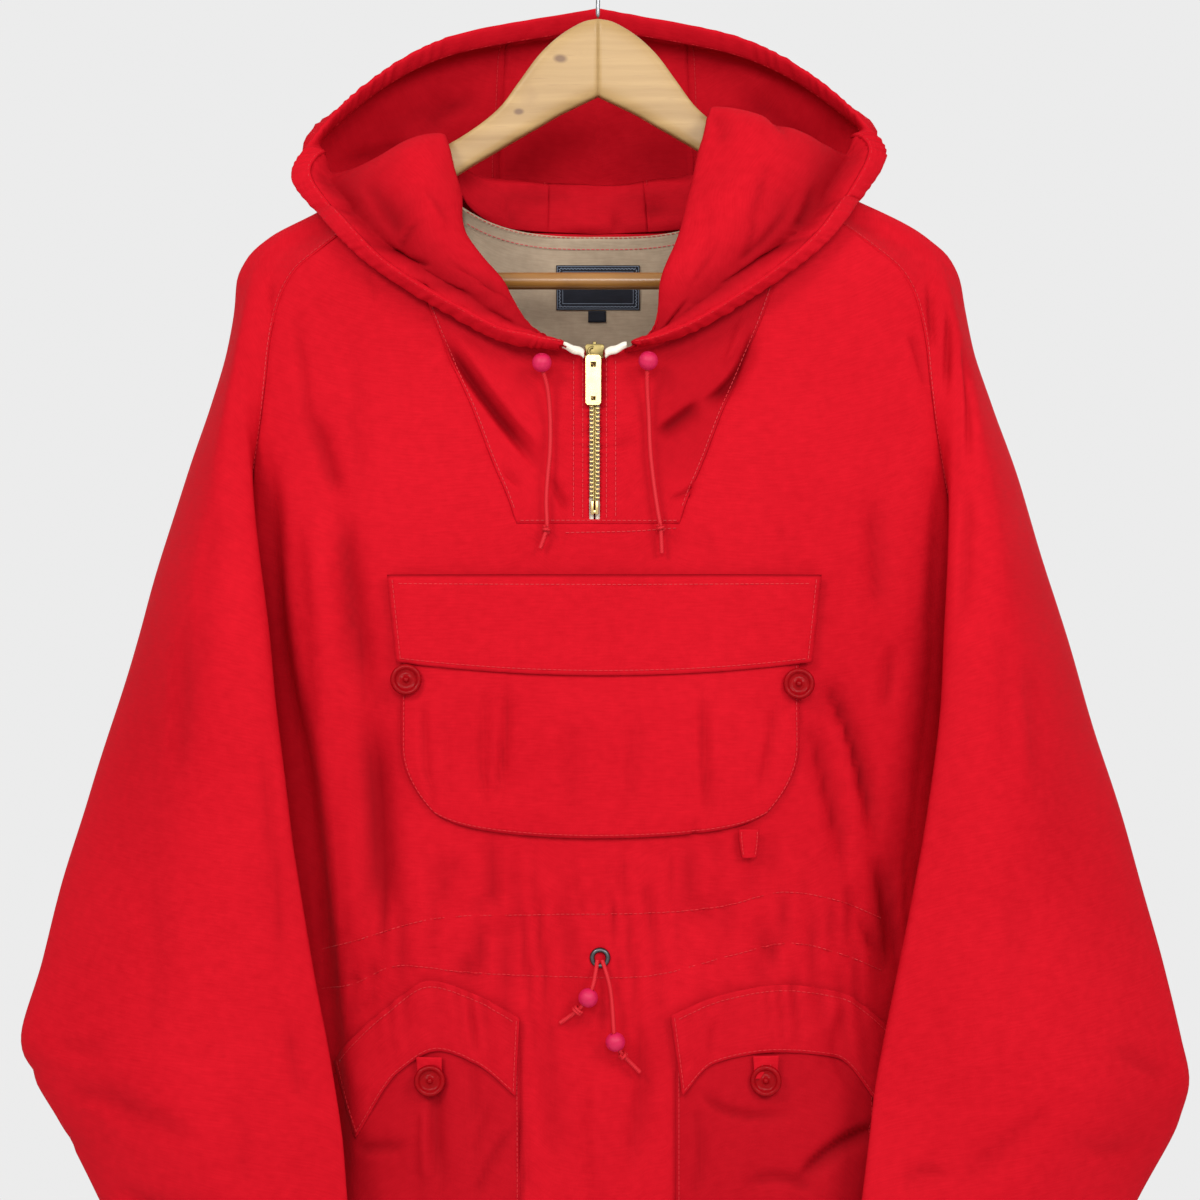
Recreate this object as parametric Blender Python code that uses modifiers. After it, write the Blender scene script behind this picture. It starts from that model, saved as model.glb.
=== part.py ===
"""Hooded anorak pullover on a wooden hanger. Metres, +Z up, the front faces -Y.

The origin is the inside top of the hanger's hook, where a rail holds it.
Each table has its column names in its first row and one section in each further row.
"""

import math

import bmesh
import bpy
from mathutils import Matrix, Vector

CLOTH = 0.0010  # wall of the body cloth
TRIM = 0.0010  # wall of flaps, pockets and strips
SEAM = 0.0010  # room between two pieces at a seam
LAYER = 0.0019  # first layer above a panel
ZIP_X = -0.002
SLOT = 0.004  # half width of the opening that the zip fills
YOKE_END = -0.390
HEM = -0.945
NECK_BACK = -0.1985
ARM_THICK = 0.013

TORSO = (
    ("z", "half_width", "front", "back", "roundness"),
    (-0.945, 0.236, 0.080, 0.064, 2.4),
    (-0.800, 0.228, 0.082, 0.066, 2.4),
    (-0.654, 0.214, 0.079, 0.060, 2.4),
    (-0.560, 0.222, 0.079, 0.065, 2.35),
    (-0.460, 0.236, 0.076, 0.066, 2.35),
    (-0.400, 0.247, 0.072, 0.066, 2.3),
    (-0.330, 0.252, 0.067, 0.064, 2.3),
    (-0.250, 0.239, 0.060, 0.059, 2.3),
    (-0.222, 0.226, 0.056, 0.054, 2.3),
    (-0.200, 0.190, 0.048, 0.049, 2.3),
    (-0.172, 0.138, 0.031, 0.034, 2.3),
    (-0.150, 0.102, 0.016, 0.018, 2.3),
)

# Long soft folds of the front: a line from one point to another, its width and depth.
FOLDS = (
    ("x1", "z1", "x2", "z2", "width", "depth"),
    (0.146, -0.470, 0.190, -0.620, 0.030, 0.006),
    (0.132, -0.505, 0.168, -0.610, 0.022, 0.004),
    (-0.158, -0.400, -0.145, -0.640, 0.034, 0.005),
    (-0.182, -0.310, -0.166, -0.415, 0.028, 0.004),
    (0.178, -0.320, 0.170, -0.430, 0.030, 0.003),
    (-0.090, -0.285, -0.030, -0.375, 0.026, 0.004),
    (0.088, -0.290, 0.036, -0.365, 0.026, 0.004),
    (-0.104, -0.780, -0.112, -0.930, 0.030, 0.005),
    (0.070, -0.800, 0.058, -0.930, 0.030, 0.004),
    (-0.020, -0.720, -0.012, -0.930, 0.036, 0.005),
)

# One section of a sleeve from its front seam, over its outer fold, to its back seam.
SLEEVE = (
    ("row", "out_left", "out_right", "out_y", "out_z", "seam_x", "seam_y", "seam_z",
     "fold_left", "fold_right", "fold_y", "fold_drop", "front_y", "front_drop", "back_y", "tuck", "rear_y"),
    (0, 0.100, 0.100, 0.000, -0.1488, 0.1015, 0, -0.173, 0.101, 0.101, -0.0150, 0.0150, -0.0088, 0.0038, 0.0088, 0, 0.0150),
    (1, 0.140, 0.140, 0.000, -0.1704, 0.1350, 0, -0.191, 0.138, 0.138, -0.0160, 0.0140, -0.0088, 0.0038, 0.0088, 0, 0.0160),
    (2, 0.180, 0.180, 0.000, -0.1920, 0.1700, 0, -0.2165, 0.176, 0.174, -0.0180, 0.0150, -0.0090, 0.0038, 0.0090, 0, 0.0180),
    (3, 0.2076, 0.207, 0.000, -0.2070, 0.1890, 0, -0.2335, 0.200, 0.200, -0.0200, 0.0150, -0.0100, 0.0040, 0.0100, 0, 0.0200),
    (4, 0.2220, 0.223, 0.000, -0.2200, 0.1970, 0, -0.249, 0.211, 0.212, -0.0250, 0.0150, -0.0130, 0.0050, 0.0130, 0, 0.0250),
    (5, 0.2290, 0.2300, 0.000, -0.2350, 0.2010, 0, -0.264, 0.215, 0.217, -0.0320, 0.0150, -0.0190, 0.0060, 0.0190, 0, 0.0310),
    (6, 0.2305, 0.2325, 0.000, -0.2520, 0.2035, 0, -0.279, 0.2180, 0.2200, -0.0370, 0.0140, -0.0250, 0.0060, 0.0250, 0, 0.0360),
    (7, 0.2350, 0.2370, 0.000, -0.2780, 0.2055, 0, -0.300, 0.2200, 0.2220, -0.0430, 0.0120, -0.0340, 0.0060, 0.0330, 0, 0.0410),
    (8, 0.2450, 0.2490, -0.001, -0.3150, 0.2085, 0, -0.325, 0.2190, 0.2210, -0.0500, 0.0060, -0.0450, 0.0030, 0.0430, 0, 0.0470),
    (9, 0.2602, 0.2655, -0.002, -0.3593, 0.2150, 0, -0.362, 0.2130, 0.2178, -0.0590, 0.0015, -0.0570, 0.0010, 0.0520, 0.006, 0.0540),
    (10, 0.2801, 0.2850, -0.005, -0.4238, 0.2300, 0, -0.424, 0.2046, 0.2128, -0.0700, 0, -0.0720, 0, 0.0600, 0.016, 0.0560),
    (11, 0.2900, 0.2955, -0.008, -0.4600, 0.2364, 0, -0.460, 0.1995, 0.2095, -0.0760, 0, -0.0780, 0, 0.0570, 0.034, 0.0420),
    (12, 0.3010, 0.3070, -0.012, -0.5000, 0.2390, -0.012, -0.500, 0.1945, 0.2060, -0.0840, 0, -0.0820, 0, 0.0430, 0.050, 0.0180),
    (13, 0.3184, 0.3237, -0.020, -0.5592, 0.2330, -0.036, -0.5592, 0.1862, 0.1985, -0.0920, 0, -0.0880, 0, 0.0180, 0.062, -0.0050),
    (14, 0.3333, 0.3370, -0.028, -0.6102, 0.2080, -0.062, -0.6102, 0.1795, 0.1925, -0.0960, 0, -0.0940, 0, -0.0060, 0.060, -0.0260),
    (15, 0.3443, 0.3500, -0.038, -0.6602, 0.1860, -0.077, -0.6602, 0.1740, 0.1865, -0.0980, 0, -0.1000, 0, -0.0240, 0.050, -0.0440),
    (16, 0.3550, 0.3595, -0.048, -0.7050, 0.1740, -0.085, -0.7050, 0.1660, 0.1790, -0.1000, 0, -0.1060, 0, -0.0380, 0.034, -0.0620),
    (17, 0.3460, 0.3635, -0.052, -0.7300, 0.1680, -0.089, -0.7300, 0.1620, 0.1755, -0.1010, 0, -0.1090, 0, -0.0440, 0.030, -0.0680),
    (18, 0.3310, 0.3565, -0.056, -0.7558, 0.1640, -0.092, -0.7558, 0.1580, 0.1730, -0.1025, 0, -0.1120, 0, -0.0490, 0.028, -0.0720),
    (19, 0.3053, 0.3298, -0.066, -0.8014, 0.1590, -0.094, -0.8014, 0.1535, 0.1660, -0.1040, 0, -0.1130, 0, -0.0570, 0.026, -0.0760),
    (20, 0.2760, 0.2980, -0.076, -0.8520, 0.1520, -0.095, -0.8520, 0.1475, 0.1580, -0.1050, 0, -0.1130, 0, -0.0640, 0.024, -0.0790),
    (21, 0.2500, 0.2700, -0.084, -0.8980, 0.1450, -0.096, -0.8980, 0.1410, 0.1500, -0.1050, 0, -0.1120, 0, -0.0720, 0.022, -0.0820),
)
ARMPIT_ROW = 11
# How strongly the sleeve's front starts forwards and outwards, to clear the body at the armpit.
GROOVE = (("row", "turn"), (8, 0.0), (9.2, 0.4), (10, 0.9), (11, 1.0), (12, 0.6), (13, 0.0))

# Outer edge of the placket yoke, half of it.
YOKE = (
    ("z", "x"),
    (-0.390, 0.0500),
    (-0.376, 0.0545),
    (-0.351, 0.0650),
    (-0.3174, 0.0780),
    (-0.2985, 0.0865),
    (-0.275, 0.0965),
    (-0.250, 0.1060),
    (-0.225, 0.1125),
    (-0.200, 0.1110),
    (-0.173, 0.1010),
)

# The neck seam, half of it, from the zip round to the back centre.
NECK = (
    ("station", "x", "y", "z"),
    (0, 0.0080, -0.0640, -0.2835),
    (1, 0.0350, -0.0640, -0.2780),
    (2, 0.0660, -0.0580, -0.2570),
    (3, 0.0880, -0.0460, -0.2280),
    (4, 0.0970, -0.0330, -0.1970),
    (5, 0.0975, -0.0045, -0.1450),
    (6, 0.0955, 0.0155, -0.1530),
    (7, 0.0830, 0.0340, -0.1800),
    (8, 0.0550, 0.0450, -0.1930),
    (9, 0.0000, 0.0485, -0.1960),
)

# Half of the hood in sections from the zip (0), past the tip of the brim (5), to the back centre (9).
HOOD_COLUMNS = ("station", "roll_x", "roll_y", "roll_z", "low_x", "low_y", "low_z",
                "wall_x", "wall_y", "wall_z", "rim_x", "rim_z")
HOOD_LEFT = (
    HOOD_COLUMNS,
    (0, 0.0120, -0.0740, -0.2805, 0.0115, -0.0775, -0.2815, 0.0110, -0.0785, -0.2835, 0.0100, -0.2855),
    (1, 0.0360, -0.0760, -0.2685, 0.0400, -0.0835, -0.2715, 0.0450, -0.0835, -0.2765, 0.0490, -0.2816),
    (2, 0.0585, -0.0700, -0.2395, 0.0700, -0.0845, -0.2425, 0.0860, -0.0825, -0.2515, 0.1000, -0.2570),
    (3, 0.0800, -0.0550, -0.2095, 0.0980, -0.0735, -0.2105, 0.1240, -0.0705, -0.2205, 0.1472, -0.2251),
    (4, 0.0858, -0.0360, -0.1840, 0.1080, -0.0520, -0.1800, 0.1430, -0.0490, -0.1890, 0.1732, -0.1971),
    (5, 0.0985, -0.0120, -0.1440, 0.1250, -0.0180, -0.1500, 0.1600, -0.0140, -0.1590, 0.1937, -0.1674),
    (6, 0.1010, 0.0130, -0.1450, 0.1350, 0.0400, -0.1780, 0.1760, 0.0320, -0.1500, 0.1764, -0.1346),
    (7, 0.0880, 0.0360, -0.1600, 0.1200, 0.0760, -0.2350, 0.1620, 0.0780, -0.1650, 0.1441, -0.0984),
    (8, 0.0560, 0.0540, -0.1665, 0.0700, 0.0990, -0.2850, 0.1100, 0.1120, -0.1700, 0.0966, -0.0683),
    (9, 0.0000, 0.0590, -0.1680, 0.0000, 0.1080, -0.3050, 0.0000, 0.1260, -0.1650, 0.0000, -0.0471),
)
HOOD_RIGHT = (
    HOOD_COLUMNS,
    (0, 0.0120, -0.0740, -0.2805, 0.0115, -0.0775, -0.2815, 0.0110, -0.0785, -0.2835, 0.0100, -0.2855),
    (1, 0.0300, -0.0760, -0.2690, 0.0360, -0.0835, -0.2710, 0.0440, -0.0835, -0.2730, 0.0497, -0.2761),
    (2, 0.0395, -0.0720, -0.2430, 0.0550, -0.0860, -0.2420, 0.0800, -0.0835, -0.2460, 0.0989, -0.2486),
    (3, 0.0505, -0.0600, -0.2102, 0.0750, -0.0770, -0.2050, 0.1130, -0.0720, -0.2110, 0.1435, -0.2138),
    (4, 0.0570, -0.0460, -0.1850, 0.0850, -0.0590, -0.1760, 0.1280, -0.0510, -0.1830, 0.1624, -0.1884),
    (5, 0.0700, -0.0140, -0.1270, 0.1000, -0.0200, -0.1330, 0.1450, -0.0140, -0.1440, 0.1830, -0.1534),
    (6, 0.0790, 0.0130, -0.1320, 0.1200, 0.0400, -0.1650, 0.1660, 0.0320, -0.1400, 0.1680, -0.1280),
    (7, 0.0740, 0.0360, -0.1520, 0.1120, 0.0760, -0.2320, 0.1550, 0.0780, -0.1600, 0.1400, -0.0984),
    (8, 0.0500, 0.0540, -0.1665, 0.0680, 0.0990, -0.2850, 0.1060, 0.1120, -0.1700, 0.0925, -0.0689),
    (9, 0.0000, 0.0590, -0.1680, 0.0000, 0.1080, -0.3050, 0.0000, 0.1260, -0.1650, 0.0000, -0.0471),
)
CENTRE_SEAM = 8.45  # station where the hood's side and centre panels meet
BRIM_SLOPE = 0.616  # how far back the brim leans for each metre that it rises
BRIM_FRONT = (-0.077, -0.2855)  # y and z of the brim at the zip
CASING_WIDE = 0.014

# Hip pocket flaps from the inner side (0) to the outer side (1), left and right.
HIP_FLAP = (
    ("across", "top_left", "top_left_z", "low_left", "low_left_z",
     "top_right", "top_right_z", "low_right", "low_right_z"),
    (0.00, 0.0470, -0.6889, 0.0494, -0.7361, 0.0436, -0.6871, 0.0508, -0.7361),
    (0.25, 0.0740, -0.6745, 0.0722, -0.7175, 0.0760, -0.6745, 0.0700, -0.7165),
    (0.50, 0.1012, -0.6668, 0.0960, -0.7095, 0.1097, -0.6694, 0.1050, -0.7105),
    (0.75, 0.1300, -0.6860, 0.1200, -0.7230, 0.1465, -0.6753, 0.1440, -0.7150),
    (1.00, 0.1640, -0.7190, 0.1464, -0.7640, 0.1830, -0.7030, 0.1700, -0.7450),
)

# Top and lower edge of the hanger's arm.
ARM = (
    ("x", "top", "low"),
    (0.0002, -0.0685, -0.1180),
    (0.0250, -0.0800, -0.1300),
    (0.0370, -0.0915, -0.1370),
    (0.0493, -0.1080, -0.1440),
    (0.0620, -0.1250, -0.1515),
    (0.0800, -0.1395, -0.1620),
    (0.1000, -0.1515, -0.1745),
    (0.1500, -0.1785, -0.2045),
    (0.1860, -0.1980, -0.2275),
    (0.1890, -0.1996, -0.2430),
    (0.2080, -0.2105, -0.2440),
    (0.2160, -0.2190, -0.2370),
)
BAR = (0.0054, 0.1852, -0.2345)  # radius, half length and height

HOOD_CORD_LEFT = (
    (-0.0340, -0.0790, -0.2880), (-0.0336, -0.0765, -0.2960), (-0.0305, -0.0735, -0.3080),
    (-0.0290, -0.0718, -0.3250), (-0.0290, -0.0730, -0.3450), (-0.0305, -0.0745, -0.3620),
    (-0.0313, -0.0757, -0.3770), (-0.0308, -0.0770, -0.3900), (-0.0318, -0.0775, -0.3960),
    (-0.0349, -0.0775, -0.4050),
)
HOOD_CORD_RIGHT = (
    (0.0314, -0.0790, -0.2870), (0.0300, -0.0765, -0.2960), (0.0300, -0.0735, -0.3080),
    (0.0310, -0.0718, -0.3250), (0.0318, -0.0730, -0.3450), (0.0340, -0.0745, -0.3660),
    (0.0365, -0.0760, -0.3830), (0.0380, -0.0770, -0.3920), (0.0388, -0.0775, -0.4080),
)
WAIST_CORD_LEFT = (
    (-0.0003, -0.0815, -0.6545), (-0.0012, -0.0850, -0.6600), (-0.0028, -0.0885, -0.6680),
    (-0.0060, -0.0900, -0.6760), (-0.0110, -0.0885, -0.6825), (-0.0165, -0.0860, -0.6870),
    (-0.0228, -0.0850, -0.6915),
)
WAIST_CORD_RIGHT = (
    (0.0027, -0.0815, -0.6545), (0.0050, -0.0850, -0.6610), (0.0075, -0.0865, -0.6710),
    (0.0088, -0.0880, -0.6830), (0.0095, -0.0900, -0.6940), (0.0106, -0.0900, -0.7025),
    (0.0140, -0.0885, -0.7090), (0.0195, -0.0865, -0.7150), (0.0254, -0.0855, -0.7211),
)
CORD_THICK = 0.0026
BEAD_WIDE = 0.0118
BUTTON_WIDE = 0.019
BUTTONS = (
    ("chest_left", -0.1154, -0.4848, 0.0056),
    ("chest_right", 0.1211, -0.4872, 0.0056),
    ("hip_left", -0.1012, -0.7271, 0.0056),
    ("hip_right", 0.1008, -0.7271, 0.0056),
)
EYELET = (0.0013, -0.6529)


def clear_scene():
    for item in list(bpy.data.objects):
        bpy.data.objects.remove(item, do_unlink=True)


def collection(name):
    made = bpy.data.collections.new(name)
    bpy.context.scene.collection.children.link(made)
    return made


def finish(name, colour, roughness, metallic=0.0):
    made = bpy.data.materials.new(name)
    made.use_nodes = True
    shader = made.node_tree.nodes["Principled BSDF"]
    shader.inputs["Base Color"].default_value = (*colour, 1)
    shader.inputs["Roughness"].default_value = roughness
    shader.inputs["Metallic"].default_value = metallic
    return made


def smooth(table, column, at):
    """One column of a table at any value of its first column, on a curve without overshoot."""
    k = table[0].index(column)
    rows = sorted(table[1:])
    xs, ys = [row[0] for row in rows], [row[k] for row in rows]
    at = min(max(at, xs[0]), xs[-1])
    i = max(j for j in range(len(xs) - 1) if xs[j] <= at)
    slopes = [(ys[j + 1] - ys[j]) / (xs[j + 1] - xs[j]) for j in range(len(xs) - 1)]

    def tangent(j):
        if j in (0, len(xs) - 1):
            return slopes[min(j, len(slopes) - 1)]
        before, after = slopes[j - 1], slopes[j]
        return 0.0 if before * after <= 0 else 2 * before * after / (before + after)

    step = xs[i + 1] - xs[i]
    t = (at - xs[i]) / step
    a, b = tangent(i) * step, tangent(i + 1) * step
    return (
        ys[i] * (1 + 2 * t) * (1 - t) ** 2 + a * t * (1 - t) ** 2
        + ys[i + 1] * t * t * (3 - 2 * t) - b * t * t * (1 - t)
    )


def mix(a, b, t):
    return a + (b - a) * t


def spline(points, t, start=None):
    """A point on the Catmull-Rom curve through the points, t from 0 to 1. start is its first direction."""
    last = len(points) - 1
    i = min(int(t * last), last - 1)
    u = t * last - i
    p1, p2 = points[i], points[i + 1]
    p0 = points[i - 1] if i else p2 - (start or p2 - p1) * 2
    p3 = points[i + 2] if i + 2 <= last else p2 * 2 - p1
    return 0.5 * (
        p1 * 2 + (p2 - p0) * u + (p0 * 2 - p1 * 5 + p2 * 4 - p3) * u * u
        + (p1 * 3 - p0 - p2 * 3 + p3) * u * u * u
    )


# ---- the body of the garment ----

def bump_at(x, z):
    """How far the front's folds sink at this place."""
    total = 0.0
    for x1, z1, x2, z2, width, depth in FOLDS[1:]:
        along = Vector((x2 - x1, z2 - z1))
        to = Vector((x - x1, z - z1))
        t = to.dot(along) / along.length_squared
        off = abs(to.cross(along)) / along.length
        ends = math.sin(math.pi * min(max(t, 0.0), 1.0))
        total += depth * ends * math.exp(-((off / width * 1.6) ** 2))
    return total


def across(x, z):
    """The angle round the body, from 0 at the centre to 1 at the side, where the front is this far out."""
    share = min(abs(x) / smooth(TORSO, "half_width", z), 1.0)
    return math.copysign(math.asin(share ** (smooth(TORSO, "roundness", z) / 2)) * 2 / math.pi, x)


def skin(u, z, face):
    power = 2 / smooth(TORSO, "roundness", z)
    angle = min(abs(u), 1.0) * math.pi / 2
    x = math.copysign(smooth(TORSO, "half_width", z) * math.sin(angle) ** power, u)
    depth = smooth(TORSO, "front" if face < 0 else "back", z)
    y = face * depth * max(math.cos(angle), 0.0) ** power
    if face < 0:
        y += bump_at(x, z) * min(1.0, max(0.0, (1 - abs(u)) * 6))
    return Vector((x, y, z))


def body_point(u, z, face, out=0.0):
    """A place on the body, moved out of the cloth. face is -1 on the front and 1 on the back."""
    place = skin(u, z, face)
    if not out:
        return place
    du, dz = 0.01, 0.002
    side = skin(min(u + du, 1), z, face) - skin(max(u - du, -1), z, face)
    rise = skin(u, min(z + dz, -0.15), face) - skin(u, max(z - dz, HEM), face)
    return place + side.cross(rise).normalized() * out * -face


def front(x, z, out=0.0):
    return body_point(across(x, z), z, -1, out)


def back(x, z, out=0.0):
    return body_point(across(x, z), z, 1, out)


def raglan_x(z):
    """The raglan seam, straight between the sleeve's rows so that both pieces meet."""
    heights = [smooth(SLEEVE, "seam_z", row) for row in UPPER]
    i = max([k for k in range(len(UPPER) - 1) if heights[k] >= z], default=0)
    share = (z - heights[i]) / (heights[i + 1] - heights[i])
    first, second = (smooth(SLEEVE, "seam_x", row) for row in UPPER[i:i + 2])
    return mix(first, second, min(share, 1.0))


# ---- making shells from a grid ----

def grid(columns, rows, place, keep=None, weld=False):
    """A bmesh grid with each vertex placed by place(i, j); keep(i, j) says which faces stay."""
    bm = bmesh.new()
    bmesh.ops.create_grid(bm, x_segments=columns, y_segments=rows, size=1)
    bm.verts.ensure_lookup_table()
    spots = {}
    for vert in bm.verts:
        i = round((vert.co.x + 1) / 2 * columns)
        j = round((vert.co.y + 1) / 2 * rows)
        spots[vert] = (i, j)
    gone = []
    for face in bm.faces:
        i = min(spots[v][0] for v in face.verts)
        j = min(spots[v][1] for v in face.verts)
        if keep and not keep(i, j):
            gone.append(face)
    bmesh.ops.delete(bm, geom=gone, context="FACES")
    for vert in bm.verts:
        vert.co = place(*spots[vert])
    if weld:
        bmesh.ops.remove_doubles(bm, verts=bm.verts, dist=1e-5)
    return bm


def piece(name, bm, material, thick=0.0, flip=False, offset=-1.0):
    mesh = bpy.data.meshes.new(name)
    if flip:
        bmesh.ops.reverse_faces(bm, faces=bm.faces)
    bm.to_mesh(mesh)
    bm.free()
    mesh.materials.append(material)
    mesh.shade_smooth()
    made = bpy.data.objects.new(name, mesh)
    garment.objects.link(made)
    if thick:
        wall = made.modifiers.new("Wall", "SOLIDIFY")
        wall.thickness = thick
        wall.offset = offset
        wall.use_even_offset = False
    return made


def loft(name, rings, material):
    """A closed solid through rings of points, all with the same count."""
    bm = bmesh.new()
    loops = [[bm.verts.new(p) for p in ring] for ring in rings]
    for first, second in zip(loops, loops[1:]):
        for i in range(len(first)):
            k = (i + 1) % len(first)
            bm.faces.new((first[i], first[k], second[k], second[i]))
    bm.faces.new(loops[0])
    bm.faces.new(loops[-1])
    bmesh.ops.recalc_face_normals(bm, faces=bm.faces)
    return piece(name, bm, material)


def turned(name, profile, steps, material, place, axis):
    """A profile of (radius, height) turned round an axis and set at a place."""
    mesh = bpy.data.meshes.new(name)
    bm = bmesh.new()
    verts = [bm.verts.new((r, 0, h)) for r, h in profile]
    for a, b in zip(verts, verts[1:]):
        bm.edges.new((a, b))
    if profile[0][0] > 0:
        bm.edges.new((verts[-1], verts[0]))
    bm.to_mesh(mesh)
    bm.free()
    mesh.materials.append(material)
    made = bpy.data.objects.new(name, mesh)
    garment.objects.link(made)
    made.rotation_mode = "QUATERNION"
    made.rotation_quaternion = Vector((0, 0, 1)).rotation_difference(axis)
    made.location = place
    screw = made.modifiers.new("Turn", "SCREW")
    screw.steps = screw.render_steps = steps
    screw.use_merge_vertices = True
    screw.merge_threshold = 0.00001
    screw.use_smooth_shade = True
    return made


def tube(name, points, thick, spacing, material):
    """A cord or wire along a smooth curve through the points."""
    line = [Vector(p) for p in points]
    fine = [spline(line, i / 400) for i in range(401)]
    length = sum((b - a).length for a, b in zip(fine, fine[1:]))
    count = max(2, math.ceil(length / spacing))
    stops, run, k = [fine[0]], 0.0, 1
    for a, b in zip(fine, fine[1:]):
        run += (b - a).length
        if k < count and run >= length * k / count:
            stops.append(b)
            k += 1
    stops.append(fine[-1])
    data = bpy.data.curves.new(name, "CURVE")
    data.dimensions = "3D"
    data.bevel_depth = thick / 2
    data.bevel_resolution = 2
    data.use_fill_caps = True
    run = data.splines.new("POLY")
    run.points.add(len(stops) - 1)
    for point, place in zip(run.points, stops):
        point.co = (*place, 1)
    data.materials.append(material)
    made = bpy.data.objects.new(name, data)
    garment.objects.link(made)
    return made


# ---- panels ----

UPPER = (0.6, 1.4, 2.2, 3, 4, 5, 6.2, 7.4, 8.4, 9.2, 10, 10.6, ARMPIT_ROW)  # the sleeve's rows at the seams
FREE = (11.6, 12.3, 13, 14, 15, 16, 17, 18, 19.5, 21)  # and below the armpit
LOWER = (-0.49, -0.525, -0.565, -0.605, -0.64, -0.675, -0.715, -0.76, -0.81, -0.875, HEM)


def panel_rows():
    return [smooth(SLEEVE, "seam_z", row) for row in UPPER] + list(LOWER)


def side_u(z):
    """Where a panel ends: at the raglan seam, or below the armpit at the side seam."""
    if z > SLEEVE[ARMPIT_ROW + 1][7]:
        return across(raglan_x(z) - SEAM, z)
    share = SEAM / 2 / smooth(TORSO, "front", z)
    return math.acos(share ** (smooth(TORSO, "roundness", z) / 2)) * 2 / math.pi


def front_panel():
    """The front, with the yoke's place left open."""
    upper = [z for z in panel_rows() if z > YOKE_END]
    rows = upper + [YOKE_END - SEAM] + panel_rows()[len(upper):]
    flank, middle = 5, 6
    columns = 2 * flank + middle
    last_open = len(upper)

    def inner(z):
        return smooth(YOKE, "x", z) + SEAM

    def place(i, j):
        z = rows[j]
        end = side_u(z)
        if flank <= i <= flank + middle:
            return body_point(across(mix(-inner(z), inner(z), (i - flank) / middle), z), z, -1)
        side = -1 if i < flank else 1
        t = (flank - i) / flank if i < flank else (i - flank - middle) / flank
        return body_point(side * mix(across(inner(z), z), end, t), z, -1)

    def keep(i, j):
        return j >= last_open or not flank <= i < flank + middle

    piece("front_panel", grid(columns, len(rows) - 1, place, keep), red, CLOTH, flip=True)


def back_panel():
    rows = panel_rows()
    columns = 12
    level = -0.30

    def place(i, j):
        z = rows[j]
        u = mix(-1, 1, i / columns) * side_u(z)
        if z > level:
            middle = mix(level, NECK_BACK, (z - level) / (rows[0] - level))
            z = mix(middle, z, abs(2 * i / columns - 1) ** 3)
            edge = side_u(rows[j])
            x_edge = skin(edge, rows[j], 1).x
            return back(mix(-x_edge, x_edge, i / columns), z)
        return body_point(u, z, 1)

    piece("back_panel", grid(columns, len(rows) - 1, place), red, CLOTH)


def yoke():
    """The placket yoke, one piece with a slit for the zip."""
    half = 4
    columns = 2 * half + 1
    neck = [Vector((row[1], 0, row[3])) for row in NECK[1:6]]
    neck[-1] = Vector((0.0995, 0, -0.1745))
    edge = [neck[-1].z] + [z for z in panel_rows() if z > YOKE_END] + [YOKE_END + 0.0035, YOKE_END]
    rows = len(edge) - 1
    foot = smooth(YOKE, "x", YOKE_END) - SEAM

    def place(i, j):
        side = -1 if i <= half else 1
        q = (half - i) / half if side < 0 else (i - half - 1) / half
        v = (edge[j] - edge[0]) / (edge[-1] - edge[0])
        top = spline(neck, q)
        slot = abs(ZIP_X + side * SLOT)
        spot = top.lerp(Vector((mix(slot, foot, q), 0, YOKE_END)), v)
        if q == 0:
            spot.x = slot
        spot.x += (smooth(YOKE, "x", edge[j]) - SEAM - mix(top.x, foot, v)) * q ** 3 * min(1, 4 * v)
        return front(side * spot.x, spot.z)

    def keep(i, j):
        return i != half or j == rows - 1

    piece("yoke", grid(columns, rows, place, keep), red, CLOTH, flip=True)


def sleeve_point(side, row, s, out=0.0):
    """A place on a sleeve: s runs from its front seam (0) over the outer fold (0.5) to its back seam (1)."""
    hand = "left" if side < 0 else "right"

    def value(column):
        return smooth(SLEEVE, column, row)

    out_x, fold_x = value("out_" + hand), value("fold_" + hand)
    out_z, seam_x, seam_z = value("out_z"), value("seam_x"), value("seam_z")
    if row <= ARMPIT_ROW:
        ahead, behind = front(side * seam_x, seam_z), back(side * seam_x, seam_z)
    else:
        ahead = behind = Vector((seam_x, value("seam_y"), seam_z))
    middle = mix(fold_x, out_x, 0.5)
    rear_x = fold_x + value("tuck")
    points = [
        Vector((seam_x, ahead.y, seam_z)),
        Vector((fold_x, value("fold_y"), out_z - value("fold_drop"))),
        Vector((middle, value("front_y"), out_z - value("front_drop"))),
        Vector((out_x, value("out_y"), out_z)),
        Vector((mix(rear_x, out_x, 0.5), value("back_y"), out_z - value("front_drop"))),
        Vector((rear_x, value("rear_y"), out_z - value("fold_drop"))),
        Vector((seam_x, behind.y, seam_z)),
    ]
    straight = points[1] - points[0]
    turned_out = Vector((0.35, -0.94, 0)) * straight.length * 1.3
    place = spline(points, s, straight.lerp(turned_out, smooth(GROOVE, "turn", row)))
    return Vector((side * place.x, place.y, place.z))


def sleeve(side):
    name = "sleeve_left" if side < 0 else "sleeve_right"
    rows = (0, *UPPER, *FREE)
    columns = 18

    def place(i, j):
        return sleeve_point(side, rows[j], i / columns)

    bm = grid(columns, len(rows) - 1, place, weld=True)
    piece(name, bm, red, CLOTH, flip=side > 0)


# ---- hood ----

def brim(x, z):
    """How far back the brim is at this place, always clear of the chest."""
    lean = BRIM_FRONT[0] + BRIM_SLOPE * (z - BRIM_FRONT[1])
    if z < -0.18 and abs(x) < smooth(TORSO, "half_width", z):
        return min(lean, front(x, z).y - 0.010)
    return lean


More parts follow.
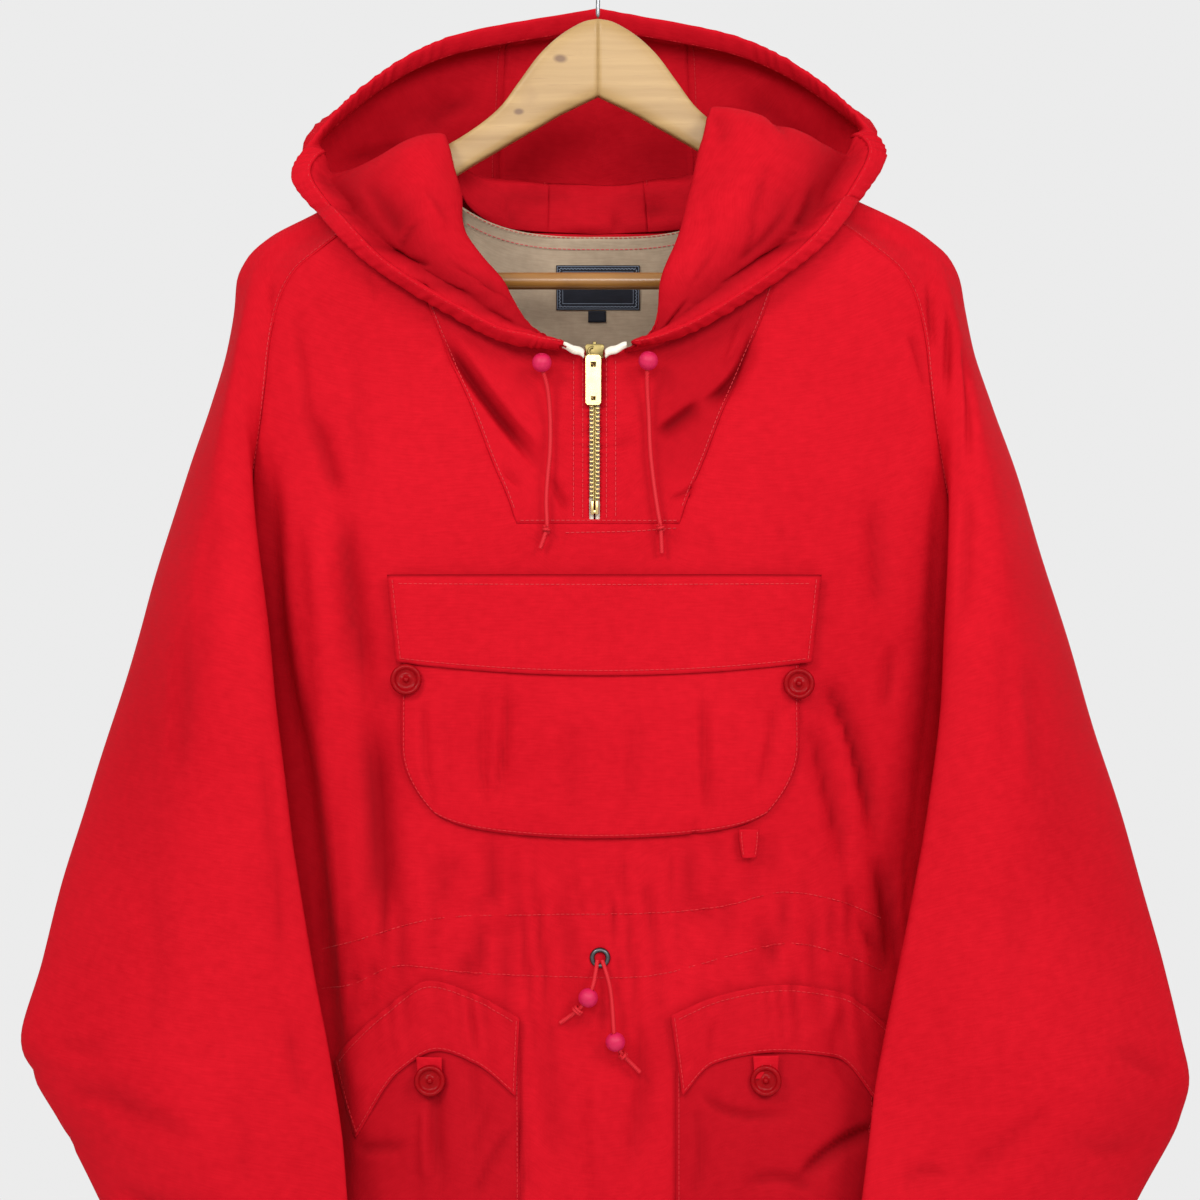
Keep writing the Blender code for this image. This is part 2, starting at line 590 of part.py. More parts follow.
def hood_point(side, station, r):
    """A place on the hood: r runs from the neck seam (0) over the roll (1) to the brim (4)."""
    table = HOOD_LEFT if side < 0 else HOOD_RIGHT

    def value(column):
        return smooth(table, column, station)

    rim_x, rim_z = value("rim_x"), value("rim_z")
    points = [Vector([smooth(NECK, c, station) for c in "xyz"]) + Vector((0, 0, 0.003))]
    points += [Vector([value(f"{ring}_{c}") for c in "xyz"]) for ring in ("roll", "low", "wall")]
    points.append(Vector((rim_x, brim(rim_x, rim_z), rim_z)))
    place = spline(points, r / 4)
    return Vector((side * place.x, place.y, place.z))


def behind_brim(side, station, room=0.0):
    """The r of the brim casing's inner edge, or of a place with some room behind it."""
    distance = CASING_WIDE * min(1.0, 0.3 + 0.7 * station) + room
    r, place, run = 4.0, hood_point(side, station, 4.0), 0.0
    while r > 0.5:
        step = hood_point(side, station, r - 0.01)
        length = (step - place).length
        if run + length >= distance:
            return r - 0.01 * (distance - run) / length
        run, r, place = run + length, r - 0.01, step
    return r


def hood():
    sides = [i * 0.5 for i in range(17)] + [CENTRE_SEAM]
    levels = [0, 0.5, 1, 1.4, 2, 2.5, 3]
    last = len(levels)

    def on(side, station, j):
        end = behind_brim(side, station, 2.2 * SEAM) if station else 4.0
        r = end if j == last else min(levels[j], end - 0.25 + 0.08 * (j - last + 1))
        return hood_point(side, station, r)

    for side, name in ((-1, "hood_left"), (1, "hood_right")):
        bm = grid(len(sides) - 1, last, lambda i, j, side=side: on(side, sides[i], j))
        piece(name, bm, red, CLOTH, flip=side > 0, offset=0)
    centre = [CENTRE_SEAM + 0.01, 8.75, 9]
    around = [(-1, s) for s in centre] + [(1, s) for s in centre[-2::-1]]
    bm = grid(len(around) - 1, last, lambda i, j: on(*around[i], j))
    piece("hood_centre", bm, red, CLOTH, offset=0)

    loop = [(-1, s) for s in sides[1:-1] + [8.5, 9]] + [(1, s) for s in [8.5] + sides[-2:0:-1]]

    def edge(i, j):
        side, station = loop[i]
        return hood_point(side, station, mix(behind_brim(side, station), 4.0, j))

    piece("hood_casing", grid(len(loop) - 1, 1, edge), red, 0.0030, offset=0)


def neck_facing():
    """Half-moon of plain cloth inside the back neck, with the label and size tab on it."""
    columns, rows = 8, 4

    def place(i, j):
        p = mix(-1, 1, i / columns)
        top = mix(NECK_BACK, -0.180, abs(p) ** 3) - 0.0015
        low = -0.31 + 0.075 * p * p
        return back(p * 0.088, mix(top, low, j / rows), -CLOTH - 0.0006)

    piece("neck_facing", grid(columns, rows, place), beige, 0.001)

    def patch(name, x1, x2, top, low, deep, material):
        def spot(i, j):
            return back(mix(x1, x2, i / 4), mix(top, low, j / 2), -CLOTH - deep)

        piece(name, grid(4, 2, spot), material, 0.0007)

    patch("label", -0.0272, 0.0272, -0.2180, -0.2468, 0.0024, navy)
    patch("size_tab", -0.0064, 0.0052, -0.2473, -0.2548, 0.0024, navy)


# ---- pockets and strips ----

def patch_on_front(name, columns, rows, outline, out, thick, material=None):
    """A piece that lies on the front: outline(p, v) gives x and z for p across and v down, both 0 to 1."""

    def place(i, j):
        x, z = outline(i / columns, j / rows)
        return front(x, z, out)

    return piece(name, grid(columns, rows, place), material or red, thick, flip=True)


def chest_pocket():
    def bag(p, v):
        q = 2 * p - 1
        low = -0.5805 + 0.009 * q ** 2 + 0.006 * q ** 8
        round_off = 0.020 * max(0.0, (v - 0.7) / 0.3) ** 2
        return 0.0015 + q * (0.1205 - round_off), mix(-0.4280, low, v)

    patch_on_front("chest_pocket", 12, 6, bag, LAYER + TRIM, TRIM)

    def flap(p, v):
        q = 2 * p - 1
        return 0.0040 + q * mix(0.1315, 0.1255, v), mix(-0.4212, -0.4822 + 0.008 * q * q, v)

    patch_on_front("chest_flap", 12, 3, flap, LAYER + 2 * TRIM + 0.0014, TRIM)

    def loop(p, v):
        q = 2 * p - 1
        return 0.0908 + q * (0.0060 - 0.002 * v * v), mix(-0.5750, -0.5925, v)

    patch_on_front("loop_tab", 2, 2, loop, LAYER + 2 * TRIM + 0.0014, 0.0012)


def hip_pocket(side):
    hand = "left" if side < 0 else "right"

    def bag(p, v):
        x = mix(0.047, 0.168, p)
        high = smooth(HIP_FLAP, "top_" + hand + "_z", p) - 0.012
        low = -0.882 + 0.016 * max(0.0, abs(2 * p - 1) - 0.6) ** 1.5 / 0.4 ** 1.5
        return side * x, mix(high, low, v)

    def flap(p, v):
        top = (smooth(HIP_FLAP, "top_" + hand, p), smooth(HIP_FLAP, "top_" + hand + "_z", p))
        low = (smooth(HIP_FLAP, "low_" + hand, p), smooth(HIP_FLAP, "low_" + hand + "_z", p))
        return side * mix(top[0], low[0], v), mix(top[1], low[1], v)

    for name, shape, rows, out in (
        ("hip_pocket_" + hand, bag, 6, LAYER + TRIM),
        ("hip_flap_" + hand, flap, 3, LAYER + 2 * TRIM + 0.0014),
    ):
        def outline(p, v, shape=shape):
            return shape(p if side > 0 else 1 - p, v)

        patch_on_front(name, 8, rows, outline, out, TRIM)


def waist_channel():
    """The strip inside that the waist cord runs in, all round."""
    columns = 40

    def place(i, j):
        turn = 4 * i / columns
        face = -1 if turn < 2 else 1
        u = turn - 1 if turn < 2 else 3 - turn
        return body_point(u, mix(-0.634, -0.674, j), face, -CLOTH - 0.0035)

    piece("waist_channel", grid(columns, 1, place, weld=True), red, 0.0010, flip=True)


# ---- hardware ----

def buttons():
    r = BUTTON_WIDE / 2
    profile = ((0, 0.0026), (r - 0.0030, 0.0022), (r - 0.0022, 0.0034), (r - 0.0006, 0.0032), (r, 0.0018),
               (r - 0.0010, 0.0), (0, 0.0))
    for name, x, z, out in BUTTONS:
        turned("button_" + name, profile, 20, gloss, front(x, z, out + 0.0004), Vector((0, -1, 0)))


def beads_and_cords():
    ways = (
        ("hood_cord_left", HOOD_CORD_LEFT, -0.2925, -0.3935),
        ("hood_cord_right", HOOD_CORD_RIGHT, -0.2915, -0.3925),
        ("waist_cord_left", WAIST_CORD_LEFT, -0.6757, -0.6835),
        ("waist_cord_right", WAIST_CORD_RIGHT, -0.7022, -0.7105),
    )
    hole, r = CORD_THICK / 2 + 0.0010, BEAD_WIDE / 2
    ball = [(hole, 0.0050)]
    ball += [(r * math.cos(a), r * math.sin(a)) for a in (0.95, 0.55, 0.15, -0.15, -0.55, -0.95)]
    ball += [(hole, -0.0050)]
    knot = [(hole, 0.0016), (0.0034, 0.0009), (0.0034, -0.0009), (hole, -0.0016)]
    for name, points, bead_z, knot_z in ways:
        tube(name, points, CORD_THICK, CORD_THICK * 2.2, rose)
        line = [Vector(p) for p in points]
        for tag, at, profile, steps in (("bead", bead_z, ball, 14), ("knot", knot_z, knot, 8)):
            near = min(range(1, 400), key=lambda i: abs(spline(line, i / 400).z - at))
            place = spline(line, near / 400)
            axis = spline(line, (near - 4) / 400) - spline(line, (near + 4) / 400)
            turned(name.replace("cord", tag), profile, steps, rose, place, axis.normalized())


def zip_parts():
    for side, name in ((-1, "zip_tape_left"), (1, "zip_tape_right")):
        def tape(i, j, side=side):
            x = ZIP_X + side * mix(0.0006, 0.0125, i)
            return front(x, mix(-0.2860, -0.3895, j / 6), -CLOTH - 0.0007)

        piece(name, grid(1, 6, tape), cream, 0.0007, flip=side > 0)

    def chain(i, j):
        return front(ZIP_X + mix(-0.0029, 0.0029, i), mix(-0.2905, -0.3755, j / 6), 0.0014)

    piece("zip_chain", grid(1, 6, chain), brass, 0.0026, flip=True)

    def stop(i, j):
        return front(ZIP_X + mix(-0.0024, 0.0024, i), mix(-0.3760, -0.3845, j), 0.0016)

    piece("zip_stop", grid(1, 1, stop), brass, 0.0026, flip=True)

    face = front(ZIP_X, -0.283, 0.0).y
    bm = bmesh.new()
    bmesh.ops.create_cube(bm, size=1)
    bmesh.ops.scale(bm, verts=bm.verts, vec=(0.0100, 0.0030, 0.0095))
    bmesh.ops.translate(bm, verts=bm.verts, vec=(ZIP_X, face - 0.0036, -0.2848))
    made = piece("zip_slider", bm, brass)
    rounding = made.modifiers.new("Rounded", "BEVEL")
    rounding.width, rounding.segments = 0.0012, 2

    data = bpy.data.curves.new("zip_pull", "CURVE")
    data.dimensions, data.fill_mode, data.extrude = "2D", "BOTH", 0.0006
    wide, long = 0.0046, 0.0305

    def loop(corners):
        run = data.splines.new("POLY")
        run.points.add(len(corners) - 1)
        run.use_cyclic_u = True
        for point, (x, y) in zip(run.points, corners):
            point.co = (x, y, 0, 1)

    top = 0.0012
    loop(((-wide + 0.001, top), (wide - 0.001, top), (wide, top - 0.002), (wide, top - long + 0.0015),
          (wide - 0.0015, top - long), (-wide + 0.0015, top - long), (-wide, top - long + 0.0015),
          (-wide, top - 0.002)))
    for x1, x2, y1, y2 in ((-0.0018, 0.0018, -0.0030, -0.0065), (-0.0016, 0.0016, -0.0240, -0.0268)):
        loop(((x1, y1), (x1, y2), (x2, y2), (x2, y1)))
    data.materials.append(brass)
    pull = bpy.data.objects.new("zip_pull", data)
    garment.objects.link(pull)
    pull.rotation_euler = (math.pi / 2, 0, 0)
    pull.location = (ZIP_X - 0.0008, face - 0.0068, -0.2885)


def eyelet():
    x, z = EYELET
    ring = ((0.0034, 0.0008), (0.0050, 0.0014), (0.0062, 0.0006), (0.0062, 0.0), (0.0034, 0.0))
    turned("waist_eyelet", ring, 20, dark_metal, front(x, z, 0.0004), Vector((0, -1, 0)))


# ---- hanger ----

def hanger():
    for side, name in ((-1, "hanger_arm_left"), (1, "hanger_arm_right")):
        rings = []
        for row in ARM[1:]:
            x, top, low = row
            centre, tall = (top + low) / 2, (top - low) / 2
            ring = []
            for k in range(12):
                a = 2 * math.pi * (k + 0.5) / 12
                y = ARM_THICK / 2 * math.copysign(abs(math.cos(a)) ** 0.7, math.cos(a))
                z = tall * math.copysign(abs(math.sin(a)) ** 0.7, math.sin(a)) / math.sin(1.3) ** 0.7
                ring.append(Vector((side * x, y, centre + max(-tall, min(tall, z)))))
            rings.append(ring)
        loft(name, rings, wood)

    radius, half, height = BAR
    bm = bmesh.new()
    bmesh.ops.create_cone(bm, cap_ends=True, segments=16, radius1=radius, radius2=radius, depth=2 * half)
    bmesh.ops.rotate(bm, verts=bm.verts, cent=(0, 0, 0), matrix=Matrix.Rotation(math.pi / 2, 3, "Y"))
    bmesh.ops.translate(bm, verts=bm.verts, vec=(0, 0, height))
    piece("hanger_bar", bm, wood)

    wire, bend = 0.0026, 0.0235
    hook = [(0, 0, -0.0680), (0, 0, -0.0600), (0.0010, 0, -0.0540), (0.0085, 0, -0.0480), (0.0180, 0, -0.0390)]
    for degrees in (-15, 15, 45, 70, 90, 110, 135, 160, 185, 200):
        a = math.radians(degrees)
        hook.append((bend * math.cos(a), 0, wire / 2 - bend + bend * math.sin(a)))
    tube("hanger_hook", hook, wire, wire * 2, steel)


clear_scene()
garment = collection("Anorak")
red = finish("Red cotton", (0.72, 0.010, 0.016), 0.75)
beige = finish("Beige facing", (0.50, 0.39, 0.26), 0.85)
navy = finish("Navy label", (0.012, 0.016, 0.032), 0.8)
cream = finish("Cream tape", (0.80, 0.76, 0.66), 0.8)
gloss = finish("Red button", (0.42, 0.006, 0.008), 0.18)
rose = finish("Rose cord and beads", (0.66, 0.012, 0.075), 0.45)
brass = finish("Brass", (0.83, 0.63, 0.28), 0.25, 1.0)
dark_metal = finish("Gunmetal", (0.12, 0.12, 0.13), 0.3, 1.0)
wood = finish("Pale wood", (0.72, 0.50, 0.28), 0.5)
steel = finish("Steel wire", (0.60, 0.60, 0.60), 0.3, 1.0)

front_panel()
back_panel()
yoke()
sleeve(-1)
sleeve(1)
hood()
neck_facing()
chest_pocket()
hip_pocket(-1)
hip_pocket(1)
waist_channel()
zip_parts()
buttons()
beads_and_cords()
eyelet()
hanger()
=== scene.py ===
import math

import bmesh
import bpy
import numpy as np
from mathutils import Matrix, Vector


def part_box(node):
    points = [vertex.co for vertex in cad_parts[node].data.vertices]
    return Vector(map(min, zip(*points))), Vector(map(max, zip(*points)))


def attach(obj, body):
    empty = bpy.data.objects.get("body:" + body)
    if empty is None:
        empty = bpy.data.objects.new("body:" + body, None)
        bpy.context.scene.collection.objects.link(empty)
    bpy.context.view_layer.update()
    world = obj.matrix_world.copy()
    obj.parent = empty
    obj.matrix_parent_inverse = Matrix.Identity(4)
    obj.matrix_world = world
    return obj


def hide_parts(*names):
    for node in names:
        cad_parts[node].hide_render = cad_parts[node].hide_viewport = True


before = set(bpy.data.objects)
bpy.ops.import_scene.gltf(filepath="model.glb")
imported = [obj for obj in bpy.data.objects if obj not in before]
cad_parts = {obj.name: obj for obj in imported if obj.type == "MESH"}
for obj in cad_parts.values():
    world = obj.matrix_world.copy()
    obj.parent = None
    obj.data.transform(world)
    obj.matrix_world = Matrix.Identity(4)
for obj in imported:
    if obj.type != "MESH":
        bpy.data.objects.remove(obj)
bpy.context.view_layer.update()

# All sizes are metres and the front faces -Y. Every table has its column names in its first row.

torso = (
    ("z", "half_width", "front", "back", "roundness"),
    (-0.945, 0.236, 0.08, 0.064, 2.4),
    (-0.8, 0.228, 0.082, 0.066, 2.4),
    (-0.654, 0.214, 0.079, 0.06, 2.4),
    (-0.56, 0.222, 0.079, 0.065, 2.35),
    (-0.46, 0.236, 0.076, 0.066, 2.35),
    (-0.4, 0.247, 0.072, 0.066, 2.3),
    (-0.33, 0.252, 0.067, 0.064, 2.3),
    (-0.25, 0.239, 0.06, 0.059, 2.3),
    (-0.222, 0.226, 0.056, 0.054, 2.3),
    (-0.2, 0.19, 0.048, 0.049, 2.3),
    (-0.172, 0.138, 0.031, 0.034, 2.3),
    (-0.15, 0.102, 0.016, 0.018, 2.3),
)

# Long soft folds of the front: a line, its width and depth.
longFolds = (
    ("x1", "z1", "x2", "z2", "width", "depth"),
    (0.146, -0.47, 0.19, -0.62, 0.03, 0.006),
    (0.132, -0.505, 0.168, -0.61, 0.022, 0.004),
    (-0.158, -0.4, -0.145, -0.64, 0.034, 0.005),
    (-0.182, -0.31, -0.166, -0.415, 0.028, 0.004),
    (0.178, -0.32, 0.17, -0.43, 0.03, 0.003),
    (-0.09, -0.285, -0.03, -0.375, 0.026, 0.004),
    (0.088, -0.29, 0.036, -0.365, 0.026, 0.004),
    (-0.104, -0.78, -0.112, -0.93, 0.03, 0.005),
    (0.07, -0.8, 0.058, -0.93, 0.03, 0.004),
    (-0.02, -0.72, -0.012, -0.93, 0.036, 0.005),
)

# One section of a sleeve from its front seam, over its outer fold, to its back seam.
sleeveRows = (
    ("row", "out_left", "out_right", "out_y", "out_z", "seam_x", "seam_y", "seam_z",
     "fold_left", "fold_right", "fold_y", "fold_drop", "front_y", "front_drop", "back_y", "tuck", "rear_y"),
    (0, 0.1, 0.1, 0.0, -0.1488, 0.1015, 0, -0.173,
     0.101, 0.101, -0.015, 0.015, -0.0088, 0.0038, 0.0088, 0, 0.015),
    (1, 0.14, 0.14, 0.0, -0.1704, 0.135, 0, -0.191,
     0.138, 0.138, -0.016, 0.014, -0.0088, 0.0038, 0.0088, 0, 0.016),
    (2, 0.18, 0.18, 0.0, -0.192, 0.17, 0, -0.2165,
     0.176, 0.174, -0.018, 0.015, -0.009, 0.0038, 0.009, 0, 0.018),
    (3, 0.2076, 0.207, 0.0, -0.207, 0.189, 0, -0.2335,
     0.2, 0.2, -0.02, 0.015, -0.01, 0.004, 0.01, 0, 0.02),
    (4, 0.222, 0.223, 0.0, -0.22, 0.197, 0, -0.249,
     0.211, 0.212, -0.025, 0.015, -0.013, 0.005, 0.013, 0, 0.025),
    (5, 0.229, 0.23, 0.0, -0.235, 0.201, 0, -0.264,
     0.215, 0.217, -0.032, 0.015, -0.019, 0.006, 0.019, 0, 0.031),
    (6, 0.2305, 0.2325, 0.0, -0.252, 0.2035, 0, -0.279,
     0.218, 0.22, -0.037, 0.014, -0.025, 0.006, 0.025, 0, 0.036),
    (7, 0.235, 0.237, 0.0, -0.278, 0.2055, 0, -0.3,
     0.22, 0.222, -0.043, 0.012, -0.034, 0.006, 0.033, 0, 0.041),
    (8, 0.245, 0.249, -0.001, -0.315, 0.2085, 0, -0.325,
     0.219, 0.221, -0.05, 0.006, -0.045, 0.003, 0.043, 0, 0.047),
    (9, 0.2602, 0.2655, -0.002, -0.3593, 0.215, 0, -0.362,
     0.213, 0.2178, -0.059, 0.0015, -0.057, 0.001, 0.052, 0.006, 0.054),
    (10, 0.2801, 0.285, -0.005, -0.4238, 0.23, 0, -0.424,
     0.2046, 0.2128, -0.07, 0, -0.072, 0, 0.06, 0.016, 0.056),
    (11, 0.29, 0.2955, -0.008, -0.46, 0.2364, 0, -0.46,
     0.1995, 0.2095, -0.076, 0, -0.078, 0, 0.057, 0.034, 0.042),
    (12, 0.301, 0.307, -0.012, -0.5, 0.239, -0.012, -0.5,
     0.1945, 0.206, -0.084, 0, -0.082, 0, 0.043, 0.05, 0.018),
    (13, 0.3184, 0.3237, -0.02, -0.5592, 0.233, -0.036, -0.5592,
     0.1862, 0.1985, -0.092, 0, -0.088, 0, 0.018, 0.062, -0.005),
    (14, 0.3333, 0.337, -0.028, -0.6102, 0.208, -0.062, -0.6102,
     0.1795, 0.1925, -0.096, 0, -0.094, 0, -0.006, 0.06, -0.026),
    (15, 0.3443, 0.35, -0.038, -0.6602, 0.186, -0.077, -0.6602,
     0.174, 0.1865, -0.098, 0, -0.1, 0, -0.024, 0.05, -0.044),
    (16, 0.355, 0.3595, -0.048, -0.705, 0.174, -0.085, -0.705,
     0.166, 0.179, -0.1, 0, -0.106, 0, -0.038, 0.034, -0.062),
    (17, 0.346, 0.3635, -0.052, -0.73, 0.168, -0.089, -0.73,
     0.162, 0.1755, -0.101, 0, -0.109, 0, -0.044, 0.03, -0.068),
    (18, 0.331, 0.3565, -0.056, -0.7558, 0.164, -0.092, -0.7558,
     0.158, 0.173, -0.1025, 0, -0.112, 0, -0.049, 0.028, -0.072),
    (19, 0.3053, 0.3298, -0.066, -0.8014, 0.159, -0.094, -0.8014,
     0.1535, 0.166, -0.104, 0, -0.113, 0, -0.057, 0.026, -0.076),
    (20, 0.276, 0.298, -0.076, -0.852, 0.152, -0.095, -0.852,
     0.1475, 0.158, -0.105, 0, -0.113, 0, -0.064, 0.024, -0.079),
    (21, 0.25, 0.27, -0.084, -0.898, 0.145, -0.096, -0.898,
     0.141, 0.15, -0.105, 0, -0.112, 0, -0.072, 0.022, -0.082),
)

grooveTurn = (("row", "turn"), (8, 0.0), (9.2, 0.4), (10, 0.9), (11, 1.0), (12, 0.6), (13, 0.0))

yokeEdge = (
    ("z", "x"),
    (-0.39, 0.05),
    (-0.376, 0.0545),
    (-0.351, 0.065),
    (-0.3174, 0.078),
    (-0.2985, 0.0865),
    (-0.275, 0.0965),
    (-0.25, 0.106),
    (-0.225, 0.1125),
    (-0.2, 0.111),
    (-0.173, 0.101),
)

# The neck seam, half of it, from the zip round to the back centre.
neckSeam = (
    ("station", "x", "y", "z"),
    (0, 0.008, -0.064, -0.2835),
    (1, 0.035, -0.064, -0.278),
    (2, 0.066, -0.058, -0.257),
    (3, 0.088, -0.046, -0.228),
    (4, 0.097, -0.033, -0.197),
    (5, 0.0975, -0.0045, -0.145),
    (6, 0.0955, 0.0155, -0.153),
    (7, 0.083, 0.034, -0.18),
    (8, 0.055, 0.045, -0.193),
    (9, 0.0, 0.0485, -0.196),
)

# Half of the hood in sections from the zip (0), past the tip of the brim (5), to the back centre (9).
hoodColumns = ("station", "roll_x", "roll_y", "roll_z", "low_x", "low_y", "low_z",
                "wall_x", "wall_y", "wall_z", "rim_x", "rim_z")
hoodLeft = (
    hoodColumns,
    (0, 0.012, -0.074, -0.2805, 0.0115, -0.0775, -0.2815, 0.011, -0.0785, -0.2835, 0.01, -0.2855),
    (1, 0.036, -0.076, -0.2685, 0.04, -0.0835, -0.2715, 0.045, -0.0835, -0.2765, 0.049, -0.2816),
    (2, 0.0585, -0.07, -0.2395, 0.07, -0.0845, -0.2425, 0.086, -0.0825, -0.2515, 0.1, -0.257),
    (3, 0.08, -0.055, -0.2095, 0.098, -0.0735, -0.2105, 0.124, -0.0705, -0.2205, 0.1472, -0.2251),
    (4, 0.0858, -0.036, -0.184, 0.108, -0.052, -0.18, 0.143, -0.049, -0.189, 0.1732, -0.1971),
    (5, 0.0985, -0.012, -0.144, 0.125, -0.018, -0.15, 0.16, -0.014, -0.159, 0.1937, -0.1674),
    (6, 0.101, 0.013, -0.145, 0.135, 0.04, -0.178, 0.176, 0.032, -0.15, 0.1764, -0.1346),
    (7, 0.088, 0.036, -0.16, 0.12, 0.076, -0.235, 0.162, 0.078, -0.165, 0.1441, -0.0984),
    (8, 0.056, 0.054, -0.1665, 0.07, 0.099, -0.285, 0.11, 0.112, -0.17, 0.0966, -0.0683),
    (9, 0.0, 0.059, -0.168, 0.0, 0.108, -0.305, 0.0, 0.126, -0.165, 0.0, -0.0471),
)
hoodRight = (
    hoodColumns,
    (0, 0.012, -0.074, -0.2805, 0.0115, -0.0775, -0.2815, 0.011, -0.0785, -0.2835, 0.01, -0.2855),
    (1, 0.03, -0.076, -0.269, 0.036, -0.0835, -0.271, 0.044, -0.0835, -0.273, 0.0497, -0.2761),
    (2, 0.0395, -0.072, -0.243, 0.055, -0.086, -0.242, 0.08, -0.0835, -0.246, 0.0989, -0.2486),
    (3, 0.0505, -0.06, -0.2102, 0.075, -0.077, -0.205, 0.113, -0.072, -0.211, 0.1435, -0.2138),
    (4, 0.057, -0.046, -0.185, 0.085, -0.059, -0.176, 0.128, -0.051, -0.183, 0.1624, -0.1884),
    (5, 0.07, -0.014, -0.127, 0.1, -0.02, -0.133, 0.145, -0.014, -0.144, 0.183, -0.1534),
    (6, 0.079, 0.013, -0.132, 0.12, 0.04, -0.165, 0.166, 0.032, -0.14, 0.168, -0.128),
    (7, 0.074, 0.036, -0.152, 0.112, 0.076, -0.232, 0.155, 0.078, -0.16, 0.14, -0.0984),
    (8, 0.05, 0.054, -0.1665, 0.068, 0.099, -0.285, 0.106, 0.112, -0.17, 0.0925, -0.0689),
    (9, 0.0, 0.059, -0.168, 0.0, 0.108, -0.305, 0.0, 0.126, -0.165, 0.0, -0.0471),
)

# Hip pocket flaps from the inner side (0) to the outer side (1).
hipFlap = (
    ("across", "top_left", "top_left_z", "low_left", "low_left_z",
     "top_right", "top_right_z", "low_right", "low_right_z"),
    (0.0, 0.047, -0.6889, 0.0494, -0.7361, 0.0436, -0.6871, 0.0508, -0.7361),
    (0.25, 0.074, -0.6745, 0.0722, -0.7175, 0.076, -0.6745, 0.07, -0.7165),
    (0.5, 0.1012, -0.6668, 0.096, -0.7095, 0.1097, -0.6694, 0.105, -0.7105),
    (0.75, 0.13, -0.686, 0.12, -0.723, 0.1465, -0.6753, 0.144, -0.715),
    (1.0, 0.164, -0.719, 0.1464, -0.764, 0.183, -0.703, 0.17, -0.745),
)

# Top and lower edge of the hanger's arm.
hangerArm = (
    ("x", "top", "low"),
    (-0.0001, -0.069, -0.1178),
    (0.007, -0.0701, -0.1212),
    (0.0145, -0.0734, -0.1248),
    (0.025, -0.0802, -0.13),
    (0.037, -0.0915, -0.137),
    (0.0493, -0.108, -0.144),
    (0.062, -0.125, -0.1515),
    (0.08, -0.1395, -0.162),
    (0.1, -0.1515, -0.1745),
    (0.15, -0.1785, -0.2045),
    (0.186, -0.198, -0.2275),
    (0.189, -0.1996, -0.243),
    (0.208, -0.2105, -0.244),
    (0.216, -0.219, -0.237),
)

hoodCordLeft = (
    (-0.034, -0.079, -0.288), (-0.0336, -0.0765, -0.296), (-0.0305, -0.0735, -0.308),
    (-0.029, -0.0718, -0.325), (-0.029, -0.073, -0.345), (-0.0305, -0.0745, -0.362),
    (-0.0313, -0.0757, -0.377), (-0.0308, -0.077, -0.39), (-0.0318, -0.0775, -0.396),
    (-0.0349, -0.0775, -0.405),
)
hoodCordRight = (
    (0.0314, -0.079, -0.287), (0.03, -0.0765, -0.296), (0.03, -0.0735, -0.308),
    (0.031, -0.0718, -0.325), (0.0318, -0.073, -0.345), (0.034, -0.0745, -0.366),
    (0.0365, -0.076, -0.383), (0.038, -0.077, -0.392), (0.0388, -0.0775, -0.408),
)
waistCordLeft = (
    (-0.0003, -0.0815, -0.6545), (-0.0012, -0.085, -0.66), (-0.0028, -0.0885, -0.668),
    (-0.006, -0.09, -0.676), (-0.011, -0.0885, -0.6825), (-0.0165, -0.086, -0.687),
    (-0.0228, -0.085, -0.6915),
)
waistCordRight = (
    (0.0027, -0.0815, -0.6545), (0.005, -0.085, -0.661), (0.0075, -0.0865, -0.671),
    (0.0088, -0.088, -0.683), (0.0095, -0.09, -0.694), (0.0106, -0.09, -0.7025),
    (0.014, -0.0885, -0.709), (0.0195, -0.0865, -0.715), (0.0254, -0.0855, -0.7211),
)

